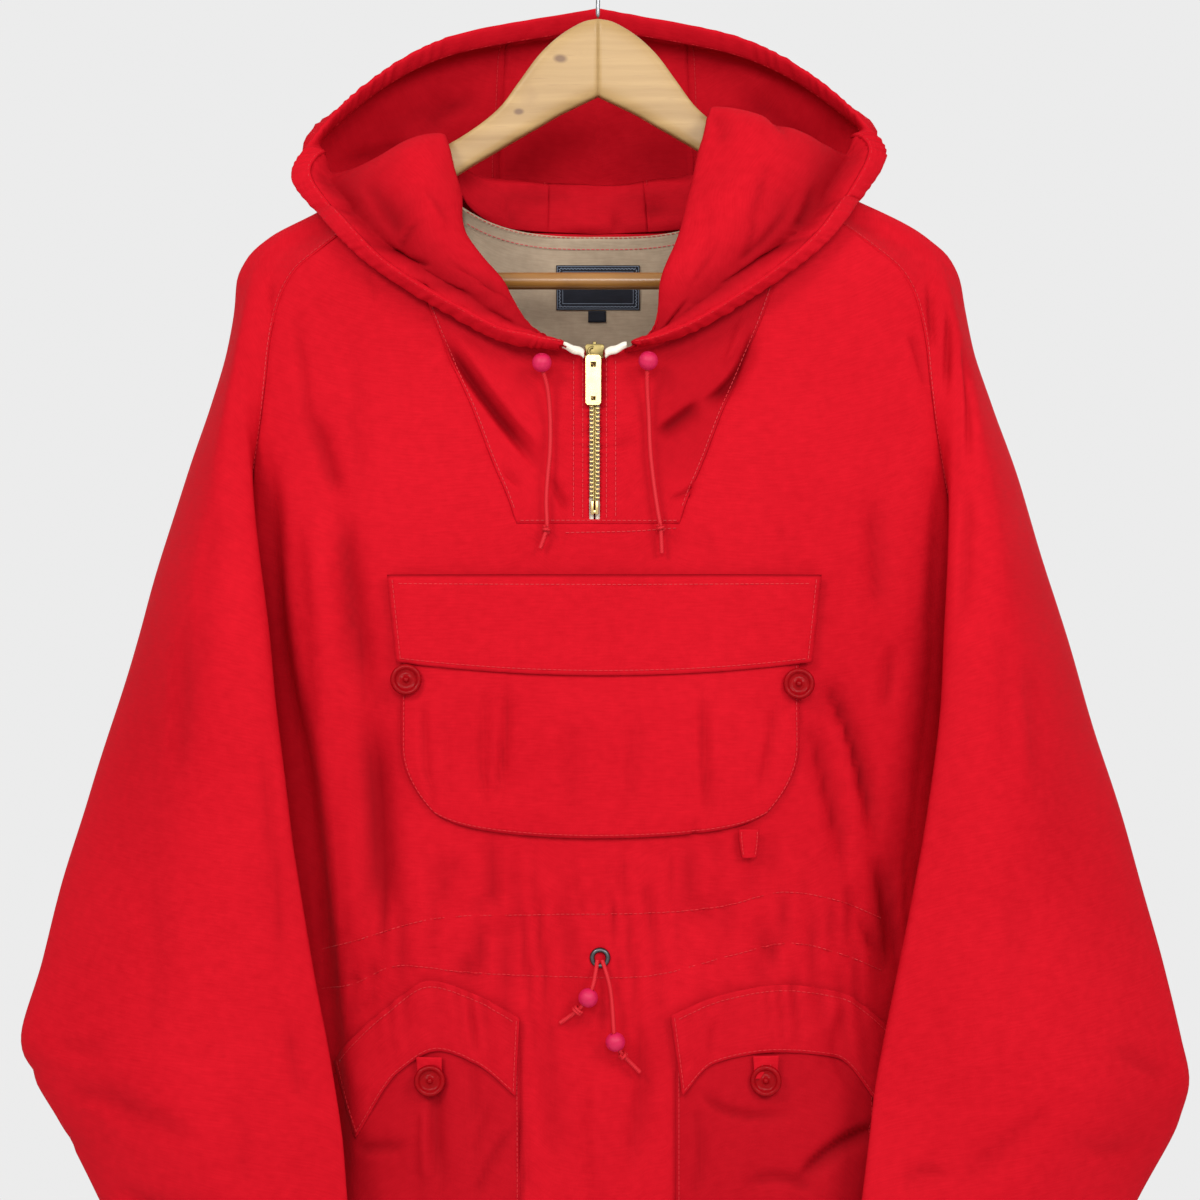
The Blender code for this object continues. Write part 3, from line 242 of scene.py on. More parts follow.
# Creases in millimetres: three points on the piece seen from the front, half width, and height.
bodyCreases = (
    ("x1", "z1", "x2", "z2", "x3", "z3", "wide", "high"),
    (-190, -254, -182, -303, -179, -358, 3.6, -1.2), (-178, -315, -169, -351, -159, -376, 5.5, -2.0),
    (-159, -376, -153, -436, -143, -509, 7.9, -3.2), (-143, -497, -137, -576, -135, -649, 9.7, -3.6),
    (-178, -364, -169, -461, -166, -594, 9.7, 2.4), (-153, -309, -150, -339, -144, -376, 4.2, -0.8),
    (-143, -231, -139, -245, -138, -257, 2.4, -0.8), (-153, -273, -149, -303, -147, -327, 4.9, -0.6),
    (-100, -268, -71, -312, -32, -361, 3.6, -3.0), (-32, -358, -24, -373, -19, -383, 3.0, -1.2),
    (-91, -265, -59, -312, -28, -348, 5.5, 1.5), (-59, -353, -53, -362, -46, -367, 2.4, -0.8),
    (97, -265, 85, -298, 62, -318, 4.2, -2.8), (65, -315, 50, -326, 35, -337, 4.9, -2.2),
    (89, -260, 83, -282, 75, -292, 3.6, 1.2), (62, -362, 53, -371, 43, -375, 1.8, -1.2),
    (26, -339, 16, -341, 9, -343, 4.2, -0.7), (47, -388, 48, -400, 47, -418, 1.5, -0.5),
    (62, -388, 67, -403, 69, -419, 1.8, -0.7), (112, -385, 112, -403, 115, -418, 2.4, -0.8),
    (120, -388, 118, -406, 117, -421, 2.4, -0.6), (56, -388, 57, -400, 58, -419, 1.8, -0.5),
    (136, -479, 158, -527, 172, -594, 4.9, -3.6), (171, -588, 179, -631, 181, -673, 6.1, -3.2),
    (127, -506, 142, -552, 153, -606, 5.5, -2.4), (153, -606, 162, -634, 174, -658, 4.2, -2.0),
    (146, -497, 153, -546, 164, -606, 4.9, 1.5), (181, -461, 179, -485, 174, -509, 4.2, -1.4),
    (170, -364, 171, -412, 174, -449, 7.3, -1.6), (192, -273, 198, -285, 205, -315, 3.0, -1.2),
    (-107, -491, -105, -527, -99, -570, 2.1, -1.1), (-68, -482, -70, -527, -69, -567, 3.0, -1.1),
    (-55, -482, -56, -521, -63, -564, 2.7, -1.5), (-61, -491, -63, -527, -66, -564, 2.4, 0.7),
    (64, -482, 64, -533, 69, -576, 3.6, -1.5), (110, -494, 103, -527, 98, -558, 3.0, -1.2),
    (26, -497, 21, -533, 18, -570, 6.1, -0.8), (-14, -497, -16, -533, -14, -576, 8.5, -0.6),
    (-93, -497, -92, -533, -90, -570, 3.0, -0.5), (-97, -585, -92, -618, -85, -658, 3.0, -1.3),
    (-88, -588, -82, -618, -70, -655, 2.4, -1.2), (-62, -576, -65, -606, -52, -652, 3.0, -1.6),
    (-78, -606, -69, -627, -56, -658, 2.4, -1.4), (-56, -582, -55, -612, -46, -649, 3.0, -1.0),
    (-105, -582, -102, -612, -105, -643, 3.6, -0.8), (-78, -618, -75, -637, -79, -664, 1.8, -0.8),
    (-73, -637, -78, -655, -82, -670, 1.8, -0.8), (-53, -643, -48, -664, -47, -679, 2.4, -0.7),
    (-16, -588, -12, -612, -4, -646, 2.4, -0.8), (17, -588, 12, -612, 6, -646, 2.4, -1.0),
    (26, -606, 30, -621, 33, -646, 2.4, -0.9), (-23, -612, -25, -637, -23, -661, 3.6, -0.6),
    (43, -582, 43, -612, 38, -649, 2.1, -0.9), (59, -564, 56, -600, 50, -655, 2.4, -1.2),
    (72, -576, 67, -606, 56, -673, 2.4, -1.4), (82, -594, 79, -624, 69, -670, 2.4, -1.2),
    (106, -576, 103, -618, 91, -673, 3.6, -1.4), (95, -594, 92, -618, 83, -655, 2.4, -0.9),
    (62, -606, 61, -637, 45, -679, 2.4, -1.0), (112, -637, 104, -655, 97, -670, 2.4, -0.8),
    (-35, -679, -30, -734, -23, -794, 8.5, -1.2), (26, -685, 26, -734, 16, -794, 7.3, -1.6),
    (-2, -709, 0, -752, 1, -819, 9.7, 1.6), (-47, -740, -46, -770, -41, -809, 3.0, -1.0),
    (-96, -715, -99, -746, -93, -806, 4.2, -1.8), (-103, -740, -105, -764, -103, -800, 4.2, 1.2),
    (-78, -715, -75, -734, -76, -758, 2.4, -0.9), (-65, -734, -71, -758, -78, -788, 2.4, -0.8),
    (-47, -752, -65, -776, -75, -806, 3.6, -1.2), (-150, -770, -132, -770, -114, -767, 3.6, -1.5),
    (62, -731, 83, -748, 126, -747, 3.0, -1.5), (183, -758, 147, -767, 117, -794, 4.9, -2.6),
    (56, -740, 62, -770, 56, -806, 3.6, -1.0), (86, -794, 110, -787, 135, -800, 3.6, -1.4),
    (153, -682, 144, -709, 159, -740, 6.1, -1.0), (74, -685, 69, -703, 72, -715, 3.6, -0.7),
    (-78, -676, -75, -697, -73, -712, 2.4, -0.7), (-156, -691, -138, -679, -123, -662, 3.6, -1.0),
    (-162, -670, -144, -667, -123, -652, 3.0, -1.1), (-23, -819, -28, -861, -19, -916, 8.5, -1.6),
    (-120, -819, -125, -861, -118, -922, 7.3, -1.8), (147, -819, 153, -867, 146, -922, 7.3, -1.8),
    (62, -825, 69, -873, 64, -922, 6.7, -1.3), (-78, -855, -82, -885, -78, -922, 5.5, -1.1),
    (26, -849, 32, -885, 27, -922, 6.1, -1.4), (-162, -800, -158, -855, -162, -922, 7.3, -1.4),
    (183, -813, 177, -861, 183, -922, 7.3, -1.4),
)
leftSleeveCreases = (
    ("x1", "z1", "x2", "z2", "x3", "z3", "wide", "high"),
    (-207, -232, -203, -255, -200, -273, 1.8, -1.0), (-203, -273, -206, -297, -207, -328, 2.4, -0.8),
    (-203, -497, -195, -588, -186, -678, 3.0, -1.3), (-186, -678, -180, -715, -173, -745, 3.0, -1.3),
    (-250, -436, -253, -497, -254, -557, 8.5, -1.0), (-232, -364, -238, -430, -241, -497, 8.5, -0.8),
    (-337, -696, -313, -710, -286, -696, 5.4, -1.0), (-304, -727, -271, -746, -235, -757, 7.3, -1.2),
    (-325, -742, -298, -739, -262, -769, 5.4, -1.0), (-271, -594, -265, -654, -271, -709, 9.7, -0.8),
    (-223, -727, -210, -757, -216, -793, 5.4, -0.9), (-295, -787, -259, -805, -216, -802, 7.3, -1.3),
    (-289, -836, -247, -824, -204, -837, 7.3, -1.5), (-271, -878, -235, -866, -192, -884, 6.7, -1.3),
)
rightSleeveCreases = (
    ("x1", "z1", "x2", "z2", "x3", "z3", "wide", "high"),
    (207, -232, 206, -261, 207, -285, 2.1, -1.6), (219, -252, 216, -279, 214, -315, 2.4, -1.8),
    (226, -273, 228, -315, 225, -364, 3.0, -1.6), (225, -364, 224, -400, 218, -461, 4.8, -1.4),
    (261, -467, 264, -509, 267, -557, 8.5, -0.9), (240, -436, 246, -497, 243, -557, 7.3, -0.8),
    (355, -730, 334, -719, 304, -703, 5.4, -1.0), (213, -787, 243, -757, 283, -733, 7.3, -1.1),
    (182, -796, 192, -776, 210, -782, 4.8, -1.4), (280, -751, 304, -769, 334, -763, 5.4, -0.9),
    (243, -594, 249, -648, 243, -709, 9.7, -0.8), (201, -824, 243, -808, 292, -817, 7.3, -1.4),
    (201, -860, 237, -878, 280, -866, 7.3, -1.4),
)
hoodCreases = (
    ("x1", "z1", "x2", "z2", "x3", "z3", "wide", "high"),
    (-169, -152, -146, -141, -121, -130, 3.7, -1.2), (-121, -127, -97, -112, -75, -103, 4.9, -1.6),
    (-152, -130, -121, -118, -90, -100, 3.1, -0.8), (-87, -149, -66, -130, -48, -107, 5.5, -1.2),
    (-152, -167, -133, -192, -121, -213, 7.3, -1.3), (-135, -219, -118, -230, -103, -230, 2.4, -1.6),
    (-155, -207, -136, -222, -121, -225, 3.1, -1.5), (-106, -199, -121, -211, -126, -222, 2.4, -1.0),
    (-97, -231, -72, -238, -57, -253, 3.1, -0.9), (-109, -179, -97, -192, -87, -207, 4.9, -0.8),
    (-121, -238, -97, -250, -72, -253, 2.4, -1.2), (-87, -256, -66, -266, -42, -272, 2.4, -1.2),
    (-78, -244, -60, -247, -48, -256, 1.8, -0.7), (75, -118, 102, -127, 124, -154, 4.9, -1.4),
    (87, -103, 118, -123, 149, -149, 3.7, -1.1), (64, -124, 76, -141, 72, -156, 4.9, -1.1),
    (105, -161, 100, -186, 90, -210, 3.7, -0.9), (124, -179, 107, -210, 81, -234, 3.1, -1.0),
    (145, -207, 111, -227, 72, -250, 2.1, -1.7), (96, -198, 94, -216, 88, -230, 2.4, -0.8),
    (76, -216, 64, -233, 56, -248, 2.4, -0.8), (142, -173, 133, -192, 124, -207, 4.9, -1.2),
    (56, -253, 45, -264, 35, -274, 1.8, -1.0), (62, -192, 66, -216, 56, -234, 3.7, -0.6),
)
# The hidden back has creases of the same kind.
backCreases = (
    ("x1", "z1", "x2", "z2", "x3", "z3", "wide", "high"),
    (-120, -225, -142, -300, -150, -400, 11, -2.2), (124, -230, 140, -310, 152, -420, 10, -2.0),
    (-60, -215, -75, -262, -96, -310, 8, -1.2), (52, -214, 70, -268, 98, -322, 8, -1.3),
    (-172, -430, -168, -520, -150, -640, 12, -2.8), (176, -440, 166, -530, 152, -640, 12, -2.6),
    (-150, -470, -140, -560, -128, -650, 9, 1.6), (148, -480, 138, -560, 130, -648, 9, 1.5),
    (-100, -540, -98, -600, -90, -690, 5, -1.5), (-72, -560, -70, -610, -76, -700, 5, -1.3),
    (-48, -520, -50, -590, -42, -680, 6, -1.4), (-20, -560, -24, -620, -18, -700, 5, -1.2),
    (6, -530, 4, -600, 10, -690, 6, -1.4), (34, -570, 30, -620, 38, -700, 4, -1.1),
    (58, -540, 62, -600, 56, -690, 5, -1.5), (86, -560, 82, -620, 92, -700, 5, -1.2),
    (112, -550, 108, -620, 116, -690, 5, -1.4), (-124, -570, -118, -630, -126, -700, 5, -1.2),
    (-110, -700, -116, -800, -108, -940, 13, -2.2), (-40, -710, -46, -810, -38, -940, 14, -2.0),
    (34, -700, 42, -800, 30, -940, 13, -2.1), (104, -700, 100, -810, 112, -940, 13, -2.0),
    (-160, -690, -156, -780, -166, -930, 12, -1.8), (162, -690, 158, -780, 166, -930, 12, -1.8),
)

bodyMeasures = {
    "hem": -0.945, "zipX": -0.002, "slot": 0.0032, "yokeEnd": -0.390, "neckBack": -0.1985,
    "seamGap": 0.0005, "under": 0.0022, "tuck": 0.0009, "tuckWide": 0.0012, "cloth": 0.0010, "layer": 0.0019,
    "trim": 0.0010, "armpitRow": 11,
}
hoodMeasures = {"centreSeam": 8.45, "slope": 0.616, "frontY": -0.077, "frontZ": -0.2855, "casing": 0.014,
                "clear": 0.010, "stationLong": 0.075}

sleeveFold = (
    ("z", "left", "right"),
    (-0.945, 0.156, 0.156), (-0.783, 0.158, 0.170), (-0.684, 0.168, 0.183), (-0.560, 0.179, 0.196),
    (-0.462, 0.199, 0.207), (-0.430, 0.202, 0.207), (-0.340, 0.205, 0.208),
)
sinkValues = {"left": (0.018, 0.010), "right": (0.006, 0.002)}

curveCache = {}


def smooth(table, name, at):
    key = (id(table), name)
    if key not in curveCache:
        rows = np.array(sorted(table[1:]), float)
        xs, ys = rows[:, 0], rows[:, table[0].index(name)]
        slopes = np.diff(ys) / np.diff(xs)
        before, after = slopes[:-1], slopes[1:]
        same = before * after > 0
        inner = np.where(same, 2 * before * after / np.where(same, before + after, 1), 0)
        curveCache[key] = xs, ys, np.concatenate(([slopes[0]], inner, [slopes[-1]]))
    xs, ys, tangents = curveCache[key]
    at = np.clip(at, xs[0], xs[-1])
    i = np.clip(np.searchsorted(xs, at, side="right") - 1, 0, len(xs) - 2)
    step = xs[i + 1] - xs[i]
    t = (at - xs[i]) / step
    return (
        ys[i] * (1 + 2 * t) * (1 - t) ** 2 + tangents[i] * step * t * (1 - t) ** 2
        + ys[i + 1] * t * t * (3 - 2 * t) - tangents[i + 1] * step * t * t * (1 - t)
    )


def mix(a, b, t):
    return a + (b - a) * t


def ease(t):
    t = np.clip(t, 0, 1)
    return t * t * (3 - 2 * t)


def xyz(x, y, z):
    return np.stack(np.broadcast_arrays(x, y, z), axis=-1).astype(float)


def spline(points, t, start=None):
    # Catmull-Rom through the points, t from 0 to 1; start is the first direction
    t = np.asarray(t, float)
    last = len(points) - 1
    first = points[1] - 2 * (start if start is not None else points[1] - points[0])
    stack = np.stack([first, *points, 2 * points[-1] - points[-2]])
    stack = np.broadcast_to(stack.reshape(last + 3, *([1] * (t.ndim + 1 - stack[0].ndim)), *stack.shape[1:]),
                            (last + 3, *t.shape, 3))
    i = np.minimum((t * last).astype(int), last - 1)
    u = (t * last - i)[..., None]
    p0, p1, p2, p3 = (np.take_along_axis(stack, (i + k)[None, ..., None], 0)[0] for k in range(4))
    return 0.5 * (
        p1 * 2 + (p2 - p0) * u + (p0 * 2 - p1 * 5 + p2 * 4 - p3) * u * u
        + (p1 * 3 - p0 - p2 * 3 + p3) * u * u * u
    )


def creases(table, x, z, gain=2.3):
    # Height of the listed creases at places seen from the front, each steeper on one side
    shape = np.shape(x)
    x, z = np.ravel(x) * 1000, np.ravel(z) * 1000
    total = np.zeros(x.size)
    t = np.linspace(0, 1, 9)[:, None]
    for x1, z1, x2, z2, x3, z3, wide, high in table[1:]:
        ends = np.array([(x1, z1), (x2, z2), (x3, z3)], float)
        middle = 2 * ends[1] - (ends[0] + ends[2]) / 2
        line = ends[0] * (1 - t) ** 2 + 2 * middle * t * (1 - t) + ends[2] * t * t
        low, top = line.min(0) - 3 * wide, line.max(0) + 3 * wide
        inside = np.nonzero((x > low[0]) & (x < top[0]) & (z > low[1]) & (z < top[1]))[0]
        if not inside.size:
            continue
        spot = np.stack((x[inside], z[inside]), 1)
        best, along, lean = np.full(len(spot), 1e9), np.zeros(len(spot)), np.zeros(len(spot))
        for k in range(8):
            step = line[k + 1] - line[k]
            share = np.clip((spot - line[k]) @ step / (step @ step), 0, 1)
            off = np.linalg.norm(spot - line[k] - share[:, None] * step, axis=1)
            closer = off < best
            best[closer], along[closer] = off[closer], (k + share[closer]) / 8
            turn = step[0] * (spot[:, 1] - line[k][1]) - step[1] * (spot[:, 0] - line[k][0])
            lean[closer] = np.tanh(turn[closer] / np.linalg.norm(step) / wide)
        fade = ease(np.minimum(along, 1 - along) * 3.2) * 0.85 + 0.15 * np.sin(np.pi * along)
        reach = wide * (0.88 + 0.36 * lean * np.sign(z1 - z3 + 0.3 * (x3 - x1)))
        total[inside] += gain * high * fade * np.exp(-(best / reach) ** 2)
    return (total / 1000).reshape(shape)


def ripple(x, z, seed, size, high, tall=1.0):
    # Soft uneven waves; tall stretches them in height
    pick = np.random.default_rng(seed)
    total = 0
    for _ in range(9):
        angle, phase = pick.uniform(0, math.pi), pick.uniform(0, 6.28)
        wave = 2 * math.pi / (size * pick.uniform(0.7, 1.8))
        total = total + np.sin((x * math.cos(angle) + z * math.sin(angle) / tall) * wave + phase)
    return high * total / 3


def pucker(along, away, size, reach, high, seed):
    # Small uneven ruffles beside a seam
    pick = np.random.default_rng(seed)
    wobble = sum(np.sin(along / size * f + pick.uniform(0, 6.28)) for f in (0.9, 1.7, 0.37))
    wave = np.sin(along / size * 6.28 + 1.6 * wobble) * (0.65 + 0.2 * wobble)
    return high * wave * np.exp(-np.abs(away) / reach)


def bumpAt(x, z):
    total = 0
    for x1, z1, x2, z2, width, depth in longFolds[1:]:
        along = np.array((x2 - x1, z2 - z1))
        length = math.hypot(*along)
        t = ((x - x1) * along[0] + (z - z1) * along[1]) / length ** 2
        off = np.abs((x - x1) * along[1] - (z - z1) * along[0]) / length
        total = total + depth * np.sin(math.pi * np.clip(t, 0, 1)) * np.exp(-((off / width * 1.6) ** 2))
    return total


def across(x, z):
    share = np.minimum(np.abs(x) / smooth(torso, "half_width", z), 1.0)
    return np.sign(x) * np.arcsin(share ** (smooth(torso, "roundness", z) / 2)) * 2 / math.pi


def skin(u, z, face):
    power = 2 / smooth(torso, "roundness", z)
    angle = np.minimum(np.abs(u), 1.0) * math.pi / 2
    x = np.sign(u) * smooth(torso, "half_width", z) * np.sin(angle) ** power
    y = face * smooth(torso, "front" if face < 0 else "back", z) * np.maximum(np.cos(angle), 0.0) ** power
    if face < 0:
        y = y + bumpAt(x, z) * np.clip((1 - np.abs(u)) * 6, 0, 1)
    return xyz(x, y, z)


def sinkAtSleeves(x, z):
    # The body rolls back where a sleeve lies against it
    total = 0
    for hand, on in (("left", x < 0), ("right", x >= 0)):
        wide, deep = sinkValues[hand]
        near = ease((np.abs(x) - smooth(sleeveFold, hand, z) + wide) / wide)
        total = total + on * deep * near ** 2
    return total * ease((-0.335 - z) / 0.06) * ease((z + 0.86) / 0.12)


def hollows(high, full=0.0100):
    # How deep cloth lies in a crease, from 0 on top to 1 at the bottom, used as the strength of painted shade
    # there
    return np.clip(-high / full, 0, 1) ** 1.2


def foldRelief(x, z, face, gathered=1):
    # Creases and waist gathers of the body cloth, as a height above the smooth body
    edge = ease((smooth(torso, "half_width", z) - np.abs(x)) / 0.03)
    waist = np.exp(-((z + 0.648) / 0.046) ** 2)
    gather = pucker(x + 0.1 * (z + 0.65), 0, 0.0125, 1, 0.0016, 5 if face < 0 else 8) * waist
    return (creases(bodyCreases if face < 0 else backCreases, x, z) + gathered * gather) * edge


def clothRelief(x, z, face):
    slackAndShade = ripple(x, z, 3 if face < 0 else 14, 0.090, 0.0006, 2.2)
    return foldRelief(x, z, face) + slackAndShade - sinkAtSleeves(x, z)


def bodyPoint(u, z, face, out=0.0):
    du, dz = 0.01, 0.002
    side = skin(np.minimum(u + du, 1), z, face) - skin(np.maximum(u - du, -1), z, face)
    rise = skin(u, np.minimum(z + dz, -0.15), face) - skin(u, np.maximum(z - dz, bodyMeasures["hem"]), face)
    normal = np.cross(side, rise)
    normal /= np.linalg.norm(normal, axis=-1, keepdims=True)
    place = skin(u, z, face)
    height = out + clothRelief(place[..., 0], place[..., 2], face)
    return place - face * normal * np.asarray(height)[..., None]


def front(x, z, out=0.0):
    x, z = np.broadcast_arrays(np.asarray(x, float), np.asarray(z, float))
    return bodyPoint(across(x, z), z, -1, out)


def back(x, z, out=0.0):
    x, z = np.broadcast_arrays(np.asarray(x, float), np.asarray(z, float))
    return bodyPoint(across(x, z), z, 1, out)


seamRows = np.linspace(0, bodyMeasures["armpitRow"], 221)
seamHeights = smooth(sleeveRows, "seam_z", seamRows)


def seamAt(z):
    # How far out the raglan seam is at this height
    return smooth(sleeveRows, "seam_x", np.interp(-np.asarray(z), -seamHeights, seamRows))


def tuckAt(x, z):
    # How far a panel's edge drops where it goes under the sleeve or the yoke
    wide = bodyMeasures["tuckWide"]
    atSleeve = ease((np.abs(x) - seamAt(z) + wide) / wide) * (z > seamHeights[-1])
    atYoke = ease((smooth(yokeEdge, "x", z) + wide / 2 - np.abs(x)) / wide)
    return -bodyMeasures["tuck"] * np.maximum(atSleeve, atYoke * (z > bodyMeasures["yokeEnd"] - 0.0004))


def sideU(z):
    # Where a panel ends: at the raglan seam, or below the armpit at the side seam
    z = np.asarray(z, float)
    return np.where(z > seamHeights[-1], across(seamAt(z) + bodyMeasures["under"], z), 1.0)


# Materials

def nodeAt(tree, kind, inputs=None, **settings):
    node = tree.nodes.new(kind)
    for key, value in settings.items():
        setattr(node, key, value)
    for key, value in (inputs or {}).items():
        if isinstance(value, bpy.types.NodeSocket):
            tree.links.new(value, node.inputs[key])
        else:
            node.inputs[key].default_value = value
    return node


def newMaterial(name, values):
    made = bpy.data.materials.new(name)
    made.use_nodes = True
    shader = made.node_tree.nodes["Principled BSDF"]
    for key in ("Roughness", "Metallic", "Specular IOR Level", "Coat Weight", "Coat Roughness"):
        if key in values:
            shader.inputs[key].default_value = values[key]
    place = nodeAt(made.node_tree, "ShaderNodeTexCoord").outputs["Object"]
    return made, made.node_tree, shader, place


def connect(tree, shader, sockets):
    for name, output in sockets.items():
        tree.links.new(output, shader.inputs[name])


def colourMix(tree, factor, first, second):
    node = nodeAt(tree, "ShaderNodeMix", data_type="RGBA")
    for socket, value in ((node.inputs[0], factor), (node.inputs[6], first), (node.inputs[7], second)):
        if isinstance(value, bpy.types.NodeSocket):
            tree.links.new(value, socket)
        elif isinstance(value, float):
            socket.default_value = value
        else:
            socket.default_value = (*value, 1)
    return node.outputs[2]


def mapped(tree, value, low, high, toLow, toHigh):
    inputs = {"Value": value, "From Min": low, "From Max": high, "To Min": toLow, "To Max": toHigh}
    return nodeAt(tree, "ShaderNodeMapRange", inputs).outputs[0]


def noiseAt(tree, place, scale, detail, distortion=0.0):
    inputs = {"Vector": place, "Scale": scale, "Detail": detail, "Distortion": distortion}
    return nodeAt(tree, "ShaderNodeTexNoise", inputs).outputs[0]


def movedTo(tree, place, **values):
    return nodeAt(tree, "ShaderNodeMapping", {"Vector": place, **values}).outputs[0]


def maths(tree, operation, first, second, kind="ShaderNodeMath"):
    return nodeAt(tree, kind, {0: first, 1: second}, operation=operation).outputs[0]


def bands(tree, place, scale, way, distortion=0.0):
    inputs = {"Vector": place, "Scale": scale, "Distortion": distortion}
    wave = nodeAt(tree, "ShaderNodeTexWave", inputs, wave_type="BANDS", bands_direction=way)
    return wave.outputs["Fac"]


def bumps(tree, *layers):
    # Bump layers from the finest up: the height, its strength and its depth in metres
    below = {}
    for height, strength, distance in layers:
        inputs = {"Height": height, "Strength": strength, "Distance": distance, **below}
        below = {"Normal": nodeAt(tree, "ShaderNodeBump", inputs).outputs[0]}
    return below["Normal"]


def unevenGloss(tree, noise, values, less, more):
    # The middle of the noise becomes roughness a little below and above the finish's own
    return mapped(tree, noise, 0.3, 0.7, values["Roughness"] - less, values["Roughness"] + more)


clothLook = {
    "cloud": 9.0, "mottle": 160.0, "slubs": (90.0, 900.0, 1.0), "toneFrom": 1.05, "toneTo": 1.95,
    "weaveDeep": 0.0002, "slubDeep": 0.0003, "rumpleDeep": 0.0015,
}


def clothMaterial(name, values):
    # Plain weave on the piece's own map, with slubs, soft rumpling, uneven dye and painted shade in the
    # creases
    made, tree, shader, place = newMaterial(name, values)
    weaveMap = nodeAt(tree, "ShaderNodeUVMap", uv_map="Cloth").outputs[0]
    cloudy = noiseAt(tree, place, clothLook["cloud"], 4.0)
    mottle = noiseAt(tree, place, clothLook["mottle"], 3.0)
    slub = noiseAt(tree, movedTo(tree, weaveMap, Scale=clothLook["slubs"]), 1.0, 2.0)
    tone = maths(tree, "ADD", maths(tree, "ADD", cloudy, mottle), slub)
    tone = mapped(tree, tone, clothLook["toneFrom"], clothLook["toneTo"], 0.0, 1.0)
    colour = colourMix(tree, tone, values["dark"], values["light"])
    # Painted shade: the value stored at each point darkens the colour in creases and hollows
    paintedShade = nodeAt(tree, "ShaderNodeAttribute", attribute_name="paintedShade").outputs["Fac"]
    deep = tuple(c * values["deep"] for c in values["dark"])
    threads = 6.2832 / (20 * values["thread"])
    weave = maths(tree, "MULTIPLY", *(bands(tree, weaveMap, threads, way) for way in ("X", "Y")))
    rumple = noiseAt(tree, place, values["rumpleScale"], 3.0, 0.6)
    connect(tree, shader, {
        "Base Color": colourMix(tree, paintedShade, colour, deep),
        "Roughness": unevenGloss(tree, mottle, values, 0.05, 0.06),
        "Normal": bumps(tree, (weave, values["weave"], clothLook["weaveDeep"]),
                        (slub, values["slub"], clothLook["slubDeep"]),
                        (rumple, values["rumple"], clothLook["rumpleDeep"])),
    })
    return made


# In each cloth, deep sets the colour of the painted crease shade as a share of its dark tone
redCotton = clothMaterial("redCotton", {
    "dark": (0.41, 0.0036, 0.0098), "light": (0.50, 0.0060, 0.0142), "deep": 0.45,
    "Roughness": 0.64, "Specular IOR Level": 0.02,
    "thread": 0.0007, "weave": 0.25, "slub": 0.12, "rumple": 0.18, "rumpleScale": 55.0,
})
beigeCotton = clothMaterial("beigeCotton", {
    "dark": (0.35, 0.265, 0.182), "light": (0.47, 0.365, 0.258), "deep": 0.6,
    "Roughness": 0.85, "Specular IOR Level": 0.10,
    "thread": 0.0008, "weave": 0.3, "slub": 0.15, "rumple": 0.20, "rumpleScale": 60.0,
})
navyWoven = clothMaterial("navyWoven", {
    "dark": (0.008, 0.009, 0.014), "light": (0.017, 0.019, 0.028), "deep": 0.6,
    "Roughness": 0.7, "Specular IOR Level": 0.2,
    "thread": 0.0006, "weave": 0.5, "slub": 0.2, "rumple": 0.10, "rumpleScale": 90.0,
})
creamTape = clothMaterial("creamTape", {
    "dark": (0.66, 0.60, 0.48), "light": (0.86, 0.82, 0.72), "deep": 0.6,
    "Roughness": 0.8, "Specular IOR Level": 0.2,
    "thread": 0.0008, "weave": 0.5, "slub": 0.2, "rumple": 0.12, "rumpleScale": 90.0,
})


def threadMaterial(name, colour):
    made, tree, shader, place = newMaterial(name, {"Roughness": 0.55, "Specular IOR Level": 0.3})
    shade = tuple(c * 0.7 for c in colour)
    connect(tree, shader, {"Base Color": colourMix(tree, noiseAt(tree, place, 900.0, 1.0), shade, colour)})
    return made


redThread = threadMaterial("redThread", (0.60, 0.010, 0.018))
paleThread = threadMaterial("paleThread", (0.30, 0.36, 0.46))
pinkThread = threadMaterial("pinkThread", (0.70, 0.05, 0.07))


def metalMaterial(name, dark, light, roughness):
    values = {"Roughness": roughness, "Metallic": 1.0}
    made, tree, shader, place = newMaterial(name, values)
    worn = noiseAt(tree, place, 260.0, 4.0)
    connect(tree, shader, {
        "Base Color": colourMix(tree, worn, dark, light),
        "Roughness": unevenGloss(tree, worn, values, 0.08, 0.12),
        "Normal": bumps(tree, (worn, 0.04, 0.0001)),
    })
    return made


brass = metalMaterial("brass", (0.62, 0.43, 0.16), (0.78, 0.60, 0.28), 0.27)
# Dark brass: the slider's own finish, and painted shade as the strip behind the zip teeth
dullBrassAndShade = metalMaterial("dullBrassAndShade", (0.16, 0.12, 0.045), (0.34, 0.26, 0.10), 0.40)
gunmetal = metalMaterial("gunmetal", (0.04, 0.04, 0.042), (0.14, 0.14, 0.145), 0.3)
steelWire = metalMaterial("steelWire", (0.12, 0.12, 0.125), (0.34, 0.34, 0.35), 0.24)


def glossMaterial(name, dark, light, roughness, specular):
    values = {"Roughness": roughness, "Specular IOR Level": specular}
    made, tree, shader, place = newMaterial(name, values)
    swirl = noiseAt(tree, place, 140.0, 3.0, 1.5)
    connect(tree, shader, {"Base Color": colourMix(tree, swirl, dark, light),
                           "Normal": bumps(tree, (swirl, 0.05, 0.0002))})
    return made


redButton = glossMaterial("redButton", (0.19, 0.001, 0.003), (0.31, 0.002, 0.005), 0.24, 0.07)
roseBead = glossMaterial("roseBead", (0.44, 0.004, 0.045), (0.55, 0.008, 0.075), 0.5, 0.3)


